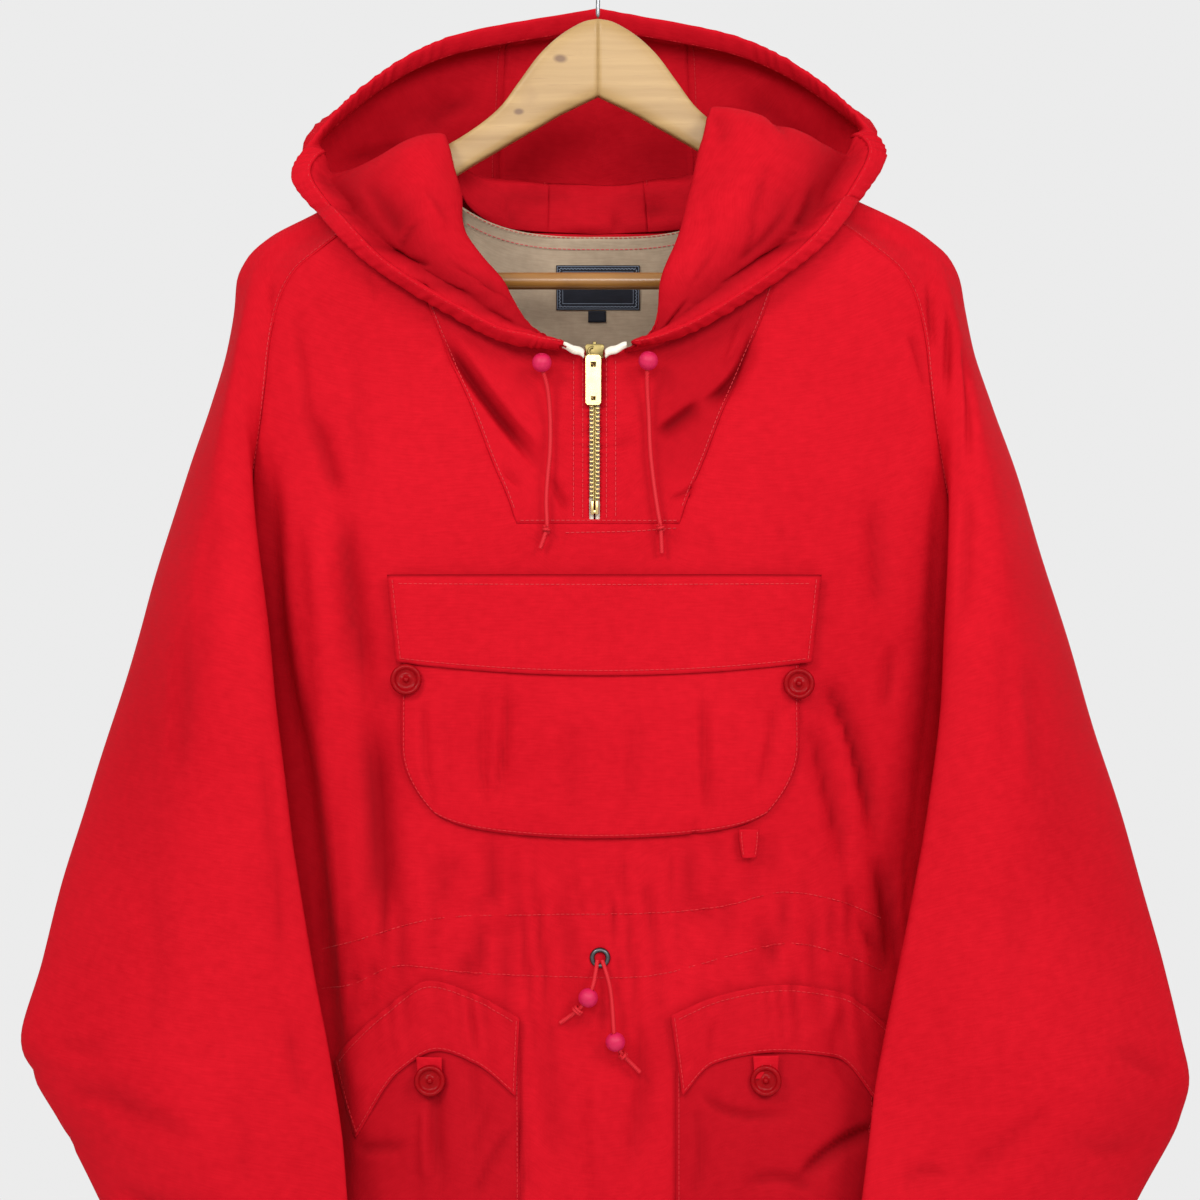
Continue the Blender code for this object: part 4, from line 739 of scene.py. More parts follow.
def cordMaterial(name):
    # Twisted strands, set aslant so that they turn round every cord
    made, tree, shader, place = newMaterial(name, {"Roughness": 0.6, "Specular IOR Level": 0.25})
    strands = bands(tree, movedTo(tree, place, Rotation=(0.5, 0.7, 0.6)), 300.0, "Z", 1.0)
    connect(tree, shader, {"Base Color": colourMix(tree, strands, (0.40, 0.003, 0.008), (0.56, 0.008, 0.018)),
                           "Normal": bumps(tree, (strands, 0.4, 0.0002))})
    return made


roseCord = cordMaterial("roseCord")


def woodMaterial(name, values):
    # Grain along X, with knots where the table puts them
    made, tree, shader, place = newMaterial(name, values)
    warp = nodeAt(tree, "ShaderNodeTexNoise", {"Vector": place, "Scale": 14.0, "Detail": 2.0})
    bent = maths(tree, "MULTIPLY", warp.outputs["Color"], (0.006, 0.006, 0.010), "ShaderNodeVectorMath")
    moved = maths(tree, "ADD", place, bent, "ShaderNodeVectorMath")
    turned = movedTo(tree, moved, Rotation=(0, values["turn"], 0), Scale=(4.0, 60.0, 110.0))
    grain = noiseAt(tree, turned, 1.0, 6.0)
    pores = noiseAt(tree, movedTo(tree, moved, Scale=(50.0, 700.0, 900.0)), 1.0, 2.0)
    stain = noiseAt(tree, place, 34.0, 5.0)
    colour = colourMix(tree, mapped(tree, grain, 0.32, 0.68, 0.0, 1.0), values["dark"], values["light"])
    colour = colourMix(tree, mapped(tree, stain, 0.58, 0.75, 0.0, 0.45), colour, values["stain"])
    colour = colourMix(tree, mapped(tree, pores, 0.62, 0.80, 0.0, 0.5), colour, values["stain"])
    for x, z, wide in values["knots"]:
        at = movedTo(tree, moved, Location=(-x, 0, -z))
        flat = maths(tree, "MULTIPLY", at, (0.8, 0.0, 1.25), "ShaderNodeVectorMath")
        far = nodeAt(tree, "ShaderNodeVectorMath", {0: flat}, operation="LENGTH").outputs["Value"]
        colour = colourMix(tree, mapped(tree, far, wide * 0.45, wide, 0.9, 0.0), colour, values["knot"])
    connect(tree, shader, {"Base Color": colour,
                           "Normal": bumps(tree, (grain, 0.15, 0.0006), (pores, 0.15, 0.0003))})
    return made


paleWood = woodMaterial("paleWood", {
    "dark": (0.30, 0.175, 0.060), "light": (0.43, 0.272, 0.108), "stain": (0.27, 0.150, 0.058),
    "knot": (0.14, 0.065, 0.025), "knots": ((-0.0200, -0.0905, 0.0042), (-0.0462, -0.1230, 0.0032)),
    "turn": 0.5, "Roughness": 0.42, "Specular IOR Level": 0.35, "Coat Weight": 0.15, "Coat Roughness": 0.3,
})
barWood = woodMaterial("barWood", {
    "dark": (0.20, 0.080, 0.016), "light": (0.37, 0.172, 0.038), "stain": (0.10, 0.040, 0.012),
    "knots": (), "turn": 0.0, "Roughness": 0.30, "Specular IOR Level": 0.4, "Coat Weight": 0.3,
    "Coat Roughness": 0.2,
})
print("materials made")


# Making pieces

def addPiece(name, bm, material, nodes=(), body="garment", smoothed=True):
    mesh = bpy.data.meshes.new(name)
    bm.to_mesh(mesh)
    bm.free()
    if material:
        mesh.materials.append(material)
    if smoothed:
        mesh.shade_smooth()
    made = bpy.data.objects.new(name, mesh)
    bpy.context.scene.collection.objects.link(made)
    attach(made, body)
    if nodes:
        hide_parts(*nodes)
    return made


def netMesh(net, keep=None, flip=False, closed=False, capped=False, paintedShade=None):
    # A grid laid onto a net of places, with a map in metres along the cloth and a painted shade value at each
    # place
    rows, columns = net.shape[0] - 1, net.shape[1] - 1
    bm = bmesh.new()
    bmesh.ops.create_grid(bm, x_segments=columns, y_segments=rows, size=0.5)
    along = np.linalg.norm(np.diff(net, axis=1), axis=2)
    along = np.concatenate((np.zeros((rows + 1, 1)), np.cumsum(along, 1)), 1)
    along -= along[:, columns // 2][:, None]
    down = np.linalg.norm(np.diff(net, axis=0), axis=2)
    down = np.concatenate((np.zeros((1, columns + 1)), np.cumsum(down, 0)), 0)
    mapLayer = bm.loops.layers.uv.new("Cloth")
    paintedShadeLayer = bm.verts.layers.float.new("paintedShade")
    spots = {vert: (round((vert.co.y + 0.5) * rows), round((vert.co.x + 0.5) * columns)) for vert in bm.verts}
    gone = []
    for face in bm.faces:
        for loop in face.loops:
            loop[mapLayer].uv = along[spots[loop.vert]], -down[spots[loop.vert]]
        if keep is not None:
            j, i = (min(spots[v][k] for v in face.verts) for k in (0, 1))
            if not keep[j, i]:
                gone.append(face)
    if gone:
        bmesh.ops.delete(bm, geom=gone, context="FACES")
    for vert in bm.verts:
        vert.co = net[spots[vert]]
        vert[paintedShadeLayer] = 0 if paintedShade is None else paintedShade[spots[vert]]
    if closed:
        bmesh.ops.remove_doubles(bm, verts=bm.verts, dist=2e-5)
    if capped:
        bmesh.ops.holes_fill(bm, edges=bm.edges, sides=0)
        bmesh.ops.recalc_face_normals(bm, faces=bm.faces)
    elif flip:
        bmesh.ops.reverse_faces(bm, faces=bm.faces)
    return bm


def netNormals(net):
    normal = np.cross(np.gradient(net, axis=1), np.gradient(net, axis=0))
    return normal / np.maximum(np.linalg.norm(normal, axis=-1, keepdims=True), 1e-12)


def params(columns, rows):
    return np.meshgrid(np.linspace(0, 1, columns + 1), np.linspace(0, 1, rows + 1))


def clothPiece(name, net, nodes, flat, area, keep=None, flip=False, closed=False, thick=None, offset=-1.0,
               material=None, slot="red_cotton", held="hung", paintedShade=None):
    made = addPiece(name, netMesh(net, keep, flip, closed, paintedShade=paintedShade), material or redCotton, nodes)
    wall = made.modifiers.new("wall", "SOLIDIFY")
    wall.thickness = thick or bodyMeasures["cloth"]
    wall.offset = offset
    wall.use_even_offset = False
    return made


stitchGroups = {}


def stitchLine(line, outward, group="body", every=0.0031, long=0.0021, thick=0.00042, wobble=0.0):
    # Short threads along a line; outward is one direction or one for each place
    line = np.asarray(line, float)
    steps = np.linalg.norm(np.diff(line, axis=0), axis=1)
    run = np.concatenate(([0], np.cumsum(steps)))
    if run[-1] < every:
        return
    outward = np.broadcast_to(np.asarray(outward, float), line.shape)
    bm = bmesh.new()
    for at in np.arange(every / 2, run[-1], every):
        ends = [Vector([np.interp(at + d, run, line[:, k]) for k in range(3)]) for d in (-long / 2, long / 2)]
        up = Vector([np.interp(at, run, outward[:, k]) for k in range(3)]).normalized()
        way = (ends[1] - ends[0]).normalized()
        side = up.cross(way).normalized()
        up = way.cross(side)
        matrix = Matrix((way, side, up)).transposed().to_4x4()
        matrix.translation = (ends[0] + ends[1]) / 2 + up * thick * 0.25
        size = Matrix.Diagonal((long, thick, thick * 0.8, 1))
        bmesh.ops.create_cube(bm, size=1, matrix=matrix @ size)
    mesh = bpy.data.meshes.new("thread")
    bm.to_mesh(mesh)
    bm.free()
    stitchGroups.setdefault(group, bmesh.new()).from_mesh(mesh)
    bpy.data.meshes.remove(mesh)


def stitchFront(points, out, group="body", count=60, **values):
    # A stitch line on the front through (x, z) places
    places = [np.array((x, 0, z)) for x, z in points]
    line = spline(places, np.linspace(0, 1, count))
    on = front(line[:, 0], line[:, 2], out)
    lifted = front(line[:, 0], line[:, 2], out + 0.002)
    stitchLine(on, lifted - on, group, **values)


def turnedMesh(profile, steps, place, axis):
    # A profile of (radius, height) spun round an axis
    bm = bmesh.new()
    verts = [bm.verts.new((r, 0, h)) for r, h in profile]
    edges = [bm.edges.new(pair) for pair in zip(verts, verts[1:])]
    if profile[0][0] > 0:
        edges.append(bm.edges.new((verts[-1], verts[0])))
    bmesh.ops.spin(bm, geom=verts + edges, cent=(0, 0, 0), axis=(0, 0, 1), angle=2 * math.pi, steps=steps,
                   use_merge=True)
    bmesh.ops.remove_doubles(bm, verts=bm.verts, dist=1e-6)
    bmesh.ops.recalc_face_normals(bm, faces=bm.faces)
    turn = Vector((0, 0, 1)).rotation_difference(Vector(axis)).to_matrix().to_4x4()
    bmesh.ops.transform(bm, verts=bm.verts, matrix=Matrix.Translation(Vector(place)) @ turn)
    return bm


def boxMesh(size, place, rounding, turn=None, segments=2):
    bm = bmesh.new()
    bmesh.ops.create_cube(bm, size=1)
    bmesh.ops.scale(bm, verts=bm.verts, vec=size)
    if rounding:
        bmesh.ops.bevel(bm, geom=bm.edges[:], offset=rounding, segments=segments, profile=0.5, affect="EDGES",
                        material=-1)
    if turn is not None:
        bmesh.ops.rotate(bm, verts=bm.verts, cent=(0, 0, 0), matrix=turn)
    bmesh.ops.translate(bm, verts=bm.verts, vec=place)
    return bm


def joined(meshes):
    total = bmesh.new()
    for bm in meshes:
        mesh = bpy.data.meshes.new("part")
        bm.to_mesh(mesh)
        bm.free()
        total.from_mesh(mesh)
        bpy.data.meshes.remove(mesh)
    return total


# Camera, light and floor

cameraValues = {"place": (0.0013, -1.8, -0.4364), "lens": 85.3}
cameraData = bpy.data.cameras.new("camera")
cameraData.lens = cameraValues["lens"]
cameraData.sensor_width = 36
cameraData.clip_start = 0.01
camera = bpy.data.objects.new("camera", cameraData)
bpy.context.scene.collection.objects.link(camera)
camera.location = cameraValues["place"]
camera.rotation_euler = (math.pi / 2, 0, 0)
bpy.context.scene.camera = camera
bpy.context.scene.view_settings.view_transform = "Standard"

lightValues = {
    "key": {"place": (-1.25, -1.90, 0.85), "size": 0.7, "power": 25, "colour": (1, 0.99, 0.97)},
    "right": {"place": (1.30, -1.90, 0.65), "size": 0.8, "power": 23, "colour": (0.98, 0.99, 1)},
    "front": {"place": (0.05, -2.40, 0.30), "size": 0.7, "power": 19, "colour": (1, 1, 1)},
    "back": {"place": (0.6, 2.1, 0.7), "size": 1.6, "power": 44, "colour": (1, 1, 1)},
}
for name, values in lightValues.items():
    lamp = bpy.data.lights.new(name, "AREA")
    lamp.size, lamp.energy, lamp.color = values["size"], values["power"], values["colour"]
    light = bpy.data.objects.new(name, lamp)
    light.location = values["place"]
    light.visible_glossy = name != "back"
    aim = Vector((0, 0, -0.42)) - Vector(values["place"])
    light.rotation_euler = aim.to_track_quat("-Z", "Y").to_euler()
    bpy.context.scene.collection.objects.link(light)

world = bpy.data.worlds.new("studio")
bpy.context.scene.world = world
world.use_nodes = True
worldValues = {"seen": 0.838, "fill": 0.79}
studio = world.node_tree.nodes["Background"]
studio.inputs[0].default_value = (1, 1, 1, 1)
direct = nodeAt(world.node_tree, "ShaderNodeLightPath").outputs["Is Camera Ray"]
world.node_tree.links.new(mapped(world.node_tree, direct, 0, 1, worldValues["fill"], worldValues["seen"]),
                          studio.inputs["Strength"])

floorValues = {"height": -1.20, "radius": 1.7, "dark": (0.60, 0.60, 0.60), "light": (0.64, 0.64, 0.64),
               "Roughness": 0.9, "Specular IOR Level": 0.1}
bm = bmesh.new()
bmesh.ops.create_circle(bm, cap_ends=True, segments=96, radius=floorValues["radius"])
bmesh.ops.translate(bm, verts=bm.verts, vec=(0, 0, floorValues["height"]))
floorMesh = bpy.data.meshes.new("floor")
bm.to_mesh(floorMesh)
bm.free()
floorPaint, floorTree, floorShader = newMaterial("floorPaint", floorValues)[:3]
floorNoise = nodeAt(floorTree, "ShaderNodeTexNoise", {"Scale": 3.0, "Detail": 2.0}).outputs[0]
paint = colourMix(floorTree, floorNoise, floorValues["dark"], floorValues["light"])
connect(floorTree, floorShader, {"Base Color": paint})
floorMesh.materials.append(floorPaint)
floor = bpy.data.objects.new("floor", floorMesh)
bpy.context.scene.collection.objects.link(floor)
print("camera, light and floor made")


# Cords, with a bead and a knot on each

cordValues = {
    "thick": 0.0026, "bead": 0.0118, "beadHole": 0.0015, "beadEnd": 0.0050, "lip": 0.0007,
    "knotThick": 0.0021, "knotWide": 0.0021, "knotHigh": 0.0014, "knotTurns": 1.6,
}


def tubePiece(name, places, thick, resolution, node):
    data = bpy.data.curves.new(name, "CURVE")
    data.dimensions = "3D"
    data.bevel_depth = thick / 2
    data.bevel_resolution = resolution
    data.use_fill_caps = True
    run = data.splines.new("POLY")
    run.points.add(len(places) - 1)
    for point, place in zip(run.points, places):
        point.co = (*place, 1)
    run.use_smooth = True
    data.materials.append(roseCord)
    made = bpy.data.objects.new(name, data)
    bpy.context.scene.collection.objects.link(made)
    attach(made, "garment")
    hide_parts(node)
    return made


def cordPiece(name, points, beadHeight, knotHeight):
    line = spline([np.array(p) for p in points], np.linspace(0, 1, 401))
    stops = np.concatenate((line[::14], line[-1:]))
    node = name.replace("Cord", "_cord_").lower()
    made = tubePiece(name, stops, cordValues["thick"], 4, node)

    def onLine(height, reach):
        # The place nearest this height, and the way the cord runs there
        at = min(range(1, 400), key=lambda k: abs(line[k][2] - height))
        return line[at], line[at - reach] - line[at + reach]

    hole, end, lip, r = (cordValues[key] for key in ("beadHole", "beadEnd", "lip", "bead"))
    r = r / 2
    bow = [(r * math.cos(a), r * math.sin(a)) for a in np.linspace(1.05, 0.06, 8)]
    ball = [(hole, -end), (hole, end), (hole + lip, end + 0.0004), *bow, (r * 0.985, 0.0),
            *[(wide, -high) for wide, high in reversed(bow)], (hole + lip, -end - 0.0004)]
    bead = addPiece(name.replace("Cord", "Bead"), turnedMesh(ball, 28, *onLine(beadHeight, 4)), roseBead,
                    [node.replace("cord", "bead")])

    # An overhand knot: the cord wound once round itself
    centre, way = onLine(knotHeight, 5)
    way = Vector(way).normalized()
    side = way.orthogonal().normalized()
    other = way.cross(side)
    spots = []
    for t in np.linspace(0, 1, 34):
        a = 2 * math.pi * cordValues["knotTurns"] * t
        wide = cordValues["knotWide"] + 0.0004 * math.sin(2 * a)
        rise = mix(-cordValues["knotHigh"], cordValues["knotHigh"], t)
        spots.append(Vector(centre) + side * wide * math.cos(a) + other * wide * math.sin(a) + way * rise)
    knot = tubePiece(name.replace("Cord", "Knot"), spots, cordValues["knotThick"], 3,
                     node.replace("cord", "knot"))


cordPiece("hoodCordLeft", hoodCordLeft, -0.2925, -0.3935)
cordPiece("hoodCordRight", hoodCordRight, -0.2915, -0.3925)
cordPiece("waistCordLeft", waistCordLeft, -0.6757, -0.6835)
cordPiece("waistCordRight", waistCordRight, -0.7022, -0.7105)
print("cords made")


# The hanger

hangerValues = {
    "thick": 0.013, "squareness": 0.36, "bulge": 0.06, "barRadius": 0.0054, "barHalf": 0.1852,
    "barHeight": -0.2345, "wire": 0.0026, "bend": 0.0235, "armEnd": 0.19, "armTip": 0.216,
}


def squared(wave, power):
    return np.sign(wave) * np.abs(wave) ** power


def hangerArmPiece(side, name):
    xs = np.concatenate((np.linspace(-0.0001, hangerValues["armEnd"], 64),
                         np.linspace(hangerValues["armEnd"] + 0.003, hangerValues["armTip"], 14)))
    a, x = np.meshgrid(np.linspace(0, 2 * math.pi, 33), xs)
    top, low = smooth(hangerArm, "top", x), smooth(hangerArm, "low", x)
    lean, fat = (squared(wave, hangerValues["squareness"]) for wave in (np.sin(a), np.cos(a)))
    y = fat * hangerValues["thick"] / 2 * (1 - hangerValues["bulge"] * lean ** 2)
    net = xyz(side * x, y, (top + low) / 2 + lean * (top - low) / 2)
    node = "hanger_arm_left" if side < 0 else "hanger_arm_right"
    addPiece(name, netMesh(net, closed=True, capped=True), paleWood, [node])


hangerArmPiece(-1, "hangerArmLeft")
hangerArmPiece(1, "hangerArmRight")


def hangerBarPiece():
    bm = bmesh.new()
    radius = hangerValues["barRadius"]
    bmesh.ops.create_cone(bm, cap_ends=True, segments=32, radius1=radius, radius2=radius,
                          depth=2 * hangerValues["barHalf"])
    ends = [e for e in bm.edges if abs(e.verts[0].co.z - e.verts[1].co.z) < 1e-6]
    bmesh.ops.bevel(bm, geom=ends, offset=0.0008, segments=2, profile=0.5, affect="EDGES", material=-1)
    bmesh.ops.rotate(bm, verts=bm.verts, cent=(0, 0, 0), matrix=Matrix.Rotation(math.pi / 2, 3, "Y"))
    bmesh.ops.translate(bm, verts=bm.verts, vec=(0, 0, hangerValues["barHeight"]))
    addPiece("hangerBar", bm, barWood, ["hanger_bar"])


def hangerHookPiece():
    wire, bend = hangerValues["wire"], hangerValues["bend"]
    points = [(0, 0, -0.0680), (0, 0, -0.0600), (0.0010, 0, -0.0540), (0.0085, 0, -0.0480),
              (0.0180, 0, -0.0390)]
    for degrees in (-15, 15, 45, 70, 90, 110, 135, 160, 185, 200):
        turn = math.radians(degrees)
        points.append((bend * math.cos(turn), 0, wire / 2 - bend + bend * math.sin(turn)))
    line = spline([np.array(p) for p in points], np.linspace(0, 1, 121))
    way = np.gradient(line, axis=0)
    way /= np.linalg.norm(way, axis=1, keepdims=True)
    side = np.cross(way, (0, 1, 0))
    around = np.linspace(0, 2 * math.pi, 17)[None, :, None]
    tip = np.sqrt(np.clip(1 - np.linspace(-1, 1, 121) ** 40, 0.02, 1))[:, None, None]
    ring = np.cos(around) * side[:, None] + np.sin(around) * np.array((0, 1, 0))
    net = line[:, None] + wire / 2 * tip * ring
    addPiece("hangerHook", netMesh(net, closed=True, capped=True), steelWire, ["hanger_hook"])


hangerBarPiece()
hangerHookPiece()
print("hanger made")


# Body panels

# Flat size of each cut piece, and its area
cutList = {
    "frontPanel": ((0.500, 0.780), 0.330), "backPanel": ((0.500, 0.770), 0.345),
    "yoke": ((0.200, 0.215), 0.021), "sleeve": ((0.420, 0.800), 0.225),
    "hoodSide": ((0.330, 0.230), 0.060), "hoodCentre": ((0.175, 0.300), 0.041),
    "casing": ((0.990, 0.029), 0.0275), "facing": ((0.176, 0.115), 0.0160),
    "chestPocket": ((0.241, 0.152), 0.0345), "chestFlap": ((0.263, 0.061), 0.0148),
    "loopTab": ((0.012, 0.0175), 0.00019), "hipPocket": ((0.121, 0.190), 0.0222),
    "hipFlap": ((0.135, 0.050), 0.0058), "hipTab": ((0.0150, 0.0140), 0.0002),
    "waistChannel": ((0.960, 0.040), 0.0384), "zipTape": ((0.012, 0.106), 0.00125),
}


panelValues = {
    "top": seamHeights[12], "upperRows": 58, "lowerRows": 150, "flank": 40, "middle": 30,
    "backLevel": -0.30, "backUpperRows": 46, "backLowerRows": 130, "backColumns": 91,
}
yokeValues = {
    "half": 44, "rows": 84, "corner": (0.0995, 0, -0.1745), "slackAndShade": 0.28,
    "ruffle": {"size": 0.0075, "reach": 0.010, "high": 0.00055, "seed": 21},
}


def frontPanelPiece():
    end = bodyMeasures["yokeEnd"]
    upperRows, flank, middle = (panelValues[key] for key in ("upperRows", "flank", "middle"))
    rows = np.concatenate((np.linspace(panelValues["top"], end + 0.0045, upperRows),
                           np.linspace(end + 0.0028, bodyMeasures["hem"], panelValues["lowerRows"])))
    i, z = np.meshgrid(np.arange(2 * flank + middle + 1), rows)
    side = np.where(i < flank + middle / 2, -1, 1)
    inner = smooth(yokeEdge, "x", z) - bodyMeasures["under"]
    t = np.clip(np.where(side < 0, flank - i, i - flank - middle) / flank, 0, 1)
    u = side * mix(across(inner, z), sideU(z), t)
    centre = mix(-inner, inner, (i - flank) / middle)
    u = np.where((i >= flank) & (i <= flank + middle), across(centre, z), u)
    x = skin(u, z, -1)[..., 0]
    net = bodyPoint(u, z, -1, tuckAt(x, z))
    keep = np.ones((len(rows) - 1, i.shape[1] - 1), bool)
    keep[:upperRows, flank:flank + middle] = False
    # Painted shade in the front's creases, with the waist gathers counted three times
    deep = hollows(foldRelief(x, z, -1, 3))
    clothPiece("frontPanel", net, ["front_panel"], *cutList["frontPanel"], keep=keep, flip=True, paintedShade=deep)


def backPanelPiece():
    level = panelValues["backLevel"]
    rows = np.concatenate((np.linspace(panelValues["top"], level, panelValues["backUpperRows"]),
                           np.linspace(level - 0.004, bodyMeasures["hem"], panelValues["backLowerRows"])))
    p, z = np.meshgrid(np.linspace(-1, 1, panelValues["backColumns"]), rows)
    above = z > level
    middle = mix(level, bodyMeasures["neckBack"], (z - level) / (rows[0] - level))
    sunk = np.where(above, mix(middle, z, np.abs(p) ** 3), z)
    edge = sideU(z)
    xEdge = skin(edge, z, 1)[..., 0]
    wide = bodyMeasures["tuckWide"]
    tuck = -bodyMeasures["tuck"] * ease((np.abs(p * xEdge) - seamAt(z) + wide) / wide) * (z > seamHeights[-1])
    x = mix(skin(p * edge, z, 1)[..., 0], p * xEdge, ease((z - level) / 0.08))
    net = np.where(above[..., None], back(x, sunk, tuck), bodyPoint(p * edge, z, 1, tuck))
    # Painted shade in the back's creases, with the waist gathers counted three times
    deep = hollows(foldRelief(x, sunk, 1, 3))
    clothPiece("backPanel", net, ["back_panel"], *cutList["backPanel"], paintedShade=deep)


def yokePiece():
    half, end, gap = yokeValues["half"], bodyMeasures["yokeEnd"], bodyMeasures["seamGap"]
    neck = [np.array((row[1], 0, row[3]), float) for row in neckSeam[1:6]]
    neck[-1] = np.array(yokeValues["corner"])
    rows = np.linspace(neck[-1][2], end, yokeValues["rows"])
    i, z = np.meshgrid(np.arange(2 * half + 2), rows)
    side = np.where(i <= half, -1, 1)
    q = np.where(side < 0, half - i, i - half - 1) / half
    v = (z - rows[0]) / (rows[-1] - rows[0])
    foot = smooth(yokeEdge, "x", end) - gap
    top = spline(neck, q)
    slot = np.abs(bodyMeasures["zipX"] + side * bodyMeasures["slot"])
    x = mix(top[..., 0], mix(slot, foot, q), v)
    spotZ = mix(top[..., 2], end, v)
    x = np.where(q == 0, slot, x)
    x = x + (smooth(yokeEdge, "x", z) - gap - mix(top[..., 0], foot, v)) * q ** 3 * np.minimum(1, 4 * v)
    away = np.abs(side * x - bodyMeasures["zipX"]) - 0.004
    ruffle = pucker(spotZ, away, **yokeValues["ruffle"]) * ease((spotZ + 0.385) / 0.02)
    net = front(side * x, spotZ, ruffle)
    keep = np.ones((len(rows) - 1, 2 * half + 1), bool)
    keep[:-2, half] = False
    # Painted shade evenly over the yoke's +X half, fading out near its foot, added to painted shade in its
    # creases and ruffles
    paintedYokeShade = yokeValues["slackAndShade"] * ease((side * x - 0.018) / 0.03) * ease((spotZ + 0.385) / 0.05)
    deep = hollows(foldRelief(side * x, spotZ, -1) + 2 * ruffle, 0.007)
    deep = np.minimum(deep + paintedYokeShade, 1)
    clothPiece("yokePanel", net, ["yoke"], *cutList["yoke"], keep=keep, flip=True, paintedShade=deep)


frontPanelPiece()
backPanelPiece()
yokePiece()
print("body panels made")


# Sleeves

def sleevePoint(side, row, s):
    hand = "left" if side < 0 else "right"

    def value(column):
        return smooth(sleeveRows, column, row)

    outX, foldX = value("out_" + hand), value("fold_" + hand)
    outZ, seamX, seamZ = value("out_z"), value("seam_x"), value("seam_z")
    upper = row <= bodyMeasures["armpitRow"]
    aheadY = np.where(upper, front(side * seamX, seamZ)[..., 1], value("seam_y"))
    behindY = np.where(upper, back(side * seamX, seamZ)[..., 1], value("seam_y"))
    middle = mix(foldX, outX, 0.5)
    rearX = foldX + value("tuck")
    points = [
        xyz(seamX, aheadY, seamZ),
        xyz(foldX, value("fold_y"), outZ - value("fold_drop")),
        xyz(middle, value("front_y"), outZ - value("front_drop")),
        xyz(outX, value("out_y"), outZ),
        xyz(mix(rearX, outX, 0.5), value("back_y"), outZ - value("front_drop")),
        xyz(rearX, value("rear_y"), outZ - value("fold_drop")),
        xyz(seamX, behindY, seamZ),
    ]
    straight = points[1] - points[0]
    turnedOut = np.array((0.35, -0.94, 0)) * np.linalg.norm(straight, axis=-1, keepdims=True) * 1.3
    turn = smooth(grooveTurn, "turn", row)[..., None]
    place = spline(points, s, mix(straight, turnedOut, turn))
    return place * np.array((side, 1, 1))


sleeveValues = {"rows": 190, "columns": 97, "slackAndShade": 0.0007, "gather": 0.0010, "gatherSize": 0.011,
                "cuffReach": 0.030}


def sleevePiece(side):
    fine = np.linspace(0, 21, 421)
    outer = sleevePoint(side, fine, np.full(421, 0.5)) + sleevePoint(side, fine, np.full(421, 0.2))
    run = np.concatenate(([0], np.cumsum(np.linalg.norm(np.diff(outer, axis=0), axis=1))))
    rows = np.interp(np.linspace(0, run[-1], sleeveValues["rows"]), run, fine)
    s, row = np.meshgrid(np.linspace(0, 1, sleeveValues["columns"]), rows)
    net = sleevePoint(side, row, s)
    x, z = net[..., 0], net[..., 2]
    tables = (leftSleeveCreases, rightSleeveCreases)[::-side]
    frontPart = ease((0.5 - s) / 0.06)
    high = creases(tables[0], x, z) * frontPart + creases(tables[1], -x, z) * (1 - frontPart)
    high += ripple(x, z, 31 if side < 0 else 37, 0.075, sleeveValues["slackAndShade"], 1.9)
    seamSide = ease(np.minimum(s, 1 - s) / 0.05)
    cuff = np.exp(-((run[-1] - np.interp(row, fine, run)) / sleeveValues["cuffReach"]))
    gather = pucker(x, 0, sleeveValues["gatherSize"], 1, sleeveValues["gather"], 43)
    high = (high + gather * cuff) * seamSide
    net = net + netNormals(net) * -side * high[..., None]
    hand = "left" if side < 0 else "right"
    # Painted shade in the sleeve's creases, gathers and ripples
    clothPiece("sleeve" + hand.capitalize(), net, ["sleeve_" + hand], *cutList["sleeve"], flip=side > 0,
               closed=True, paintedShade=hollows(high))
    return net


sleeveNets = {side: sleevePiece(side) for side in (-1, 1)}
print("sleeves made")


# Hood

def brimDepth(x, z):
    lean = hoodMeasures["frontY"] + hoodMeasures["slope"] * (z - hoodMeasures["frontZ"])
    onBody = (z < -0.18) & (np.abs(x) < smooth(torso, "half_width", z))
    safe = np.where(onBody, x, 0)
    ahead = front(safe, np.where(onBody, z, -0.3))[..., 1] - hoodMeasures["clear"]
    return np.where(onBody, np.minimum(lean, ahead), lean)


def hoodSide(side, station, r):
    table = hoodLeft if side < 0 else hoodRight

    def value(column):
        return smooth(table, column, station)

    rimX, rimZ = value("rim_x"), value("rim_z")
    points = [xyz(*(smooth(neckSeam, c, station) for c in "xyz")) + np.array((0, -0.0004, -0.0028))]
    points += [xyz(*(value(f"{ring}_{c}") for c in "xyz")) for ring in ("roll", "low", "wall")]
    points.append(xyz(rimX, brimDepth(rimX, rimZ), rimZ))
    return spline(points, r / 4) * np.array((side, 1, 1))


def hoodAt(way, r):
    # way runs round the hood from the zip's left side (0) over the back (9) to its right side (18)
    way, r = np.broadcast_arrays(np.asarray(way, float), np.asarray(r, float))
    left = hoodSide(-1, np.minimum(way, 9), r)
    right = hoodSide(1, np.minimum(18 - way, 9), r)
    return np.where((way <= 9)[..., None], left, right)


def hoodRows(ways, rows, room):
    # For each place round the hood, the r of rows spaced evenly from the neck to the casing
    r, way = np.meshgrid(np.linspace(0, 4, 241), ways, indexing="ij")
    line = hoodAt(way, r)
    steps = np.linalg.norm(np.diff(line, axis=0), axis=2)
    run = np.concatenate((np.zeros((1, len(ways))), np.cumsum(steps, 0)))
    wide = hoodMeasures["casing"] * np.minimum(1, 0.3 + 0.7 * np.minimum(ways, 18 - ways)) + room
    out = np.empty((rows + 1, len(ways)))
    for k in range(len(ways)):
        end = run[-1, k] - wide[k]
        out[:, k] = np.interp(np.linspace(0, end, rows + 1), run[:, k], r[:, k])
    return out


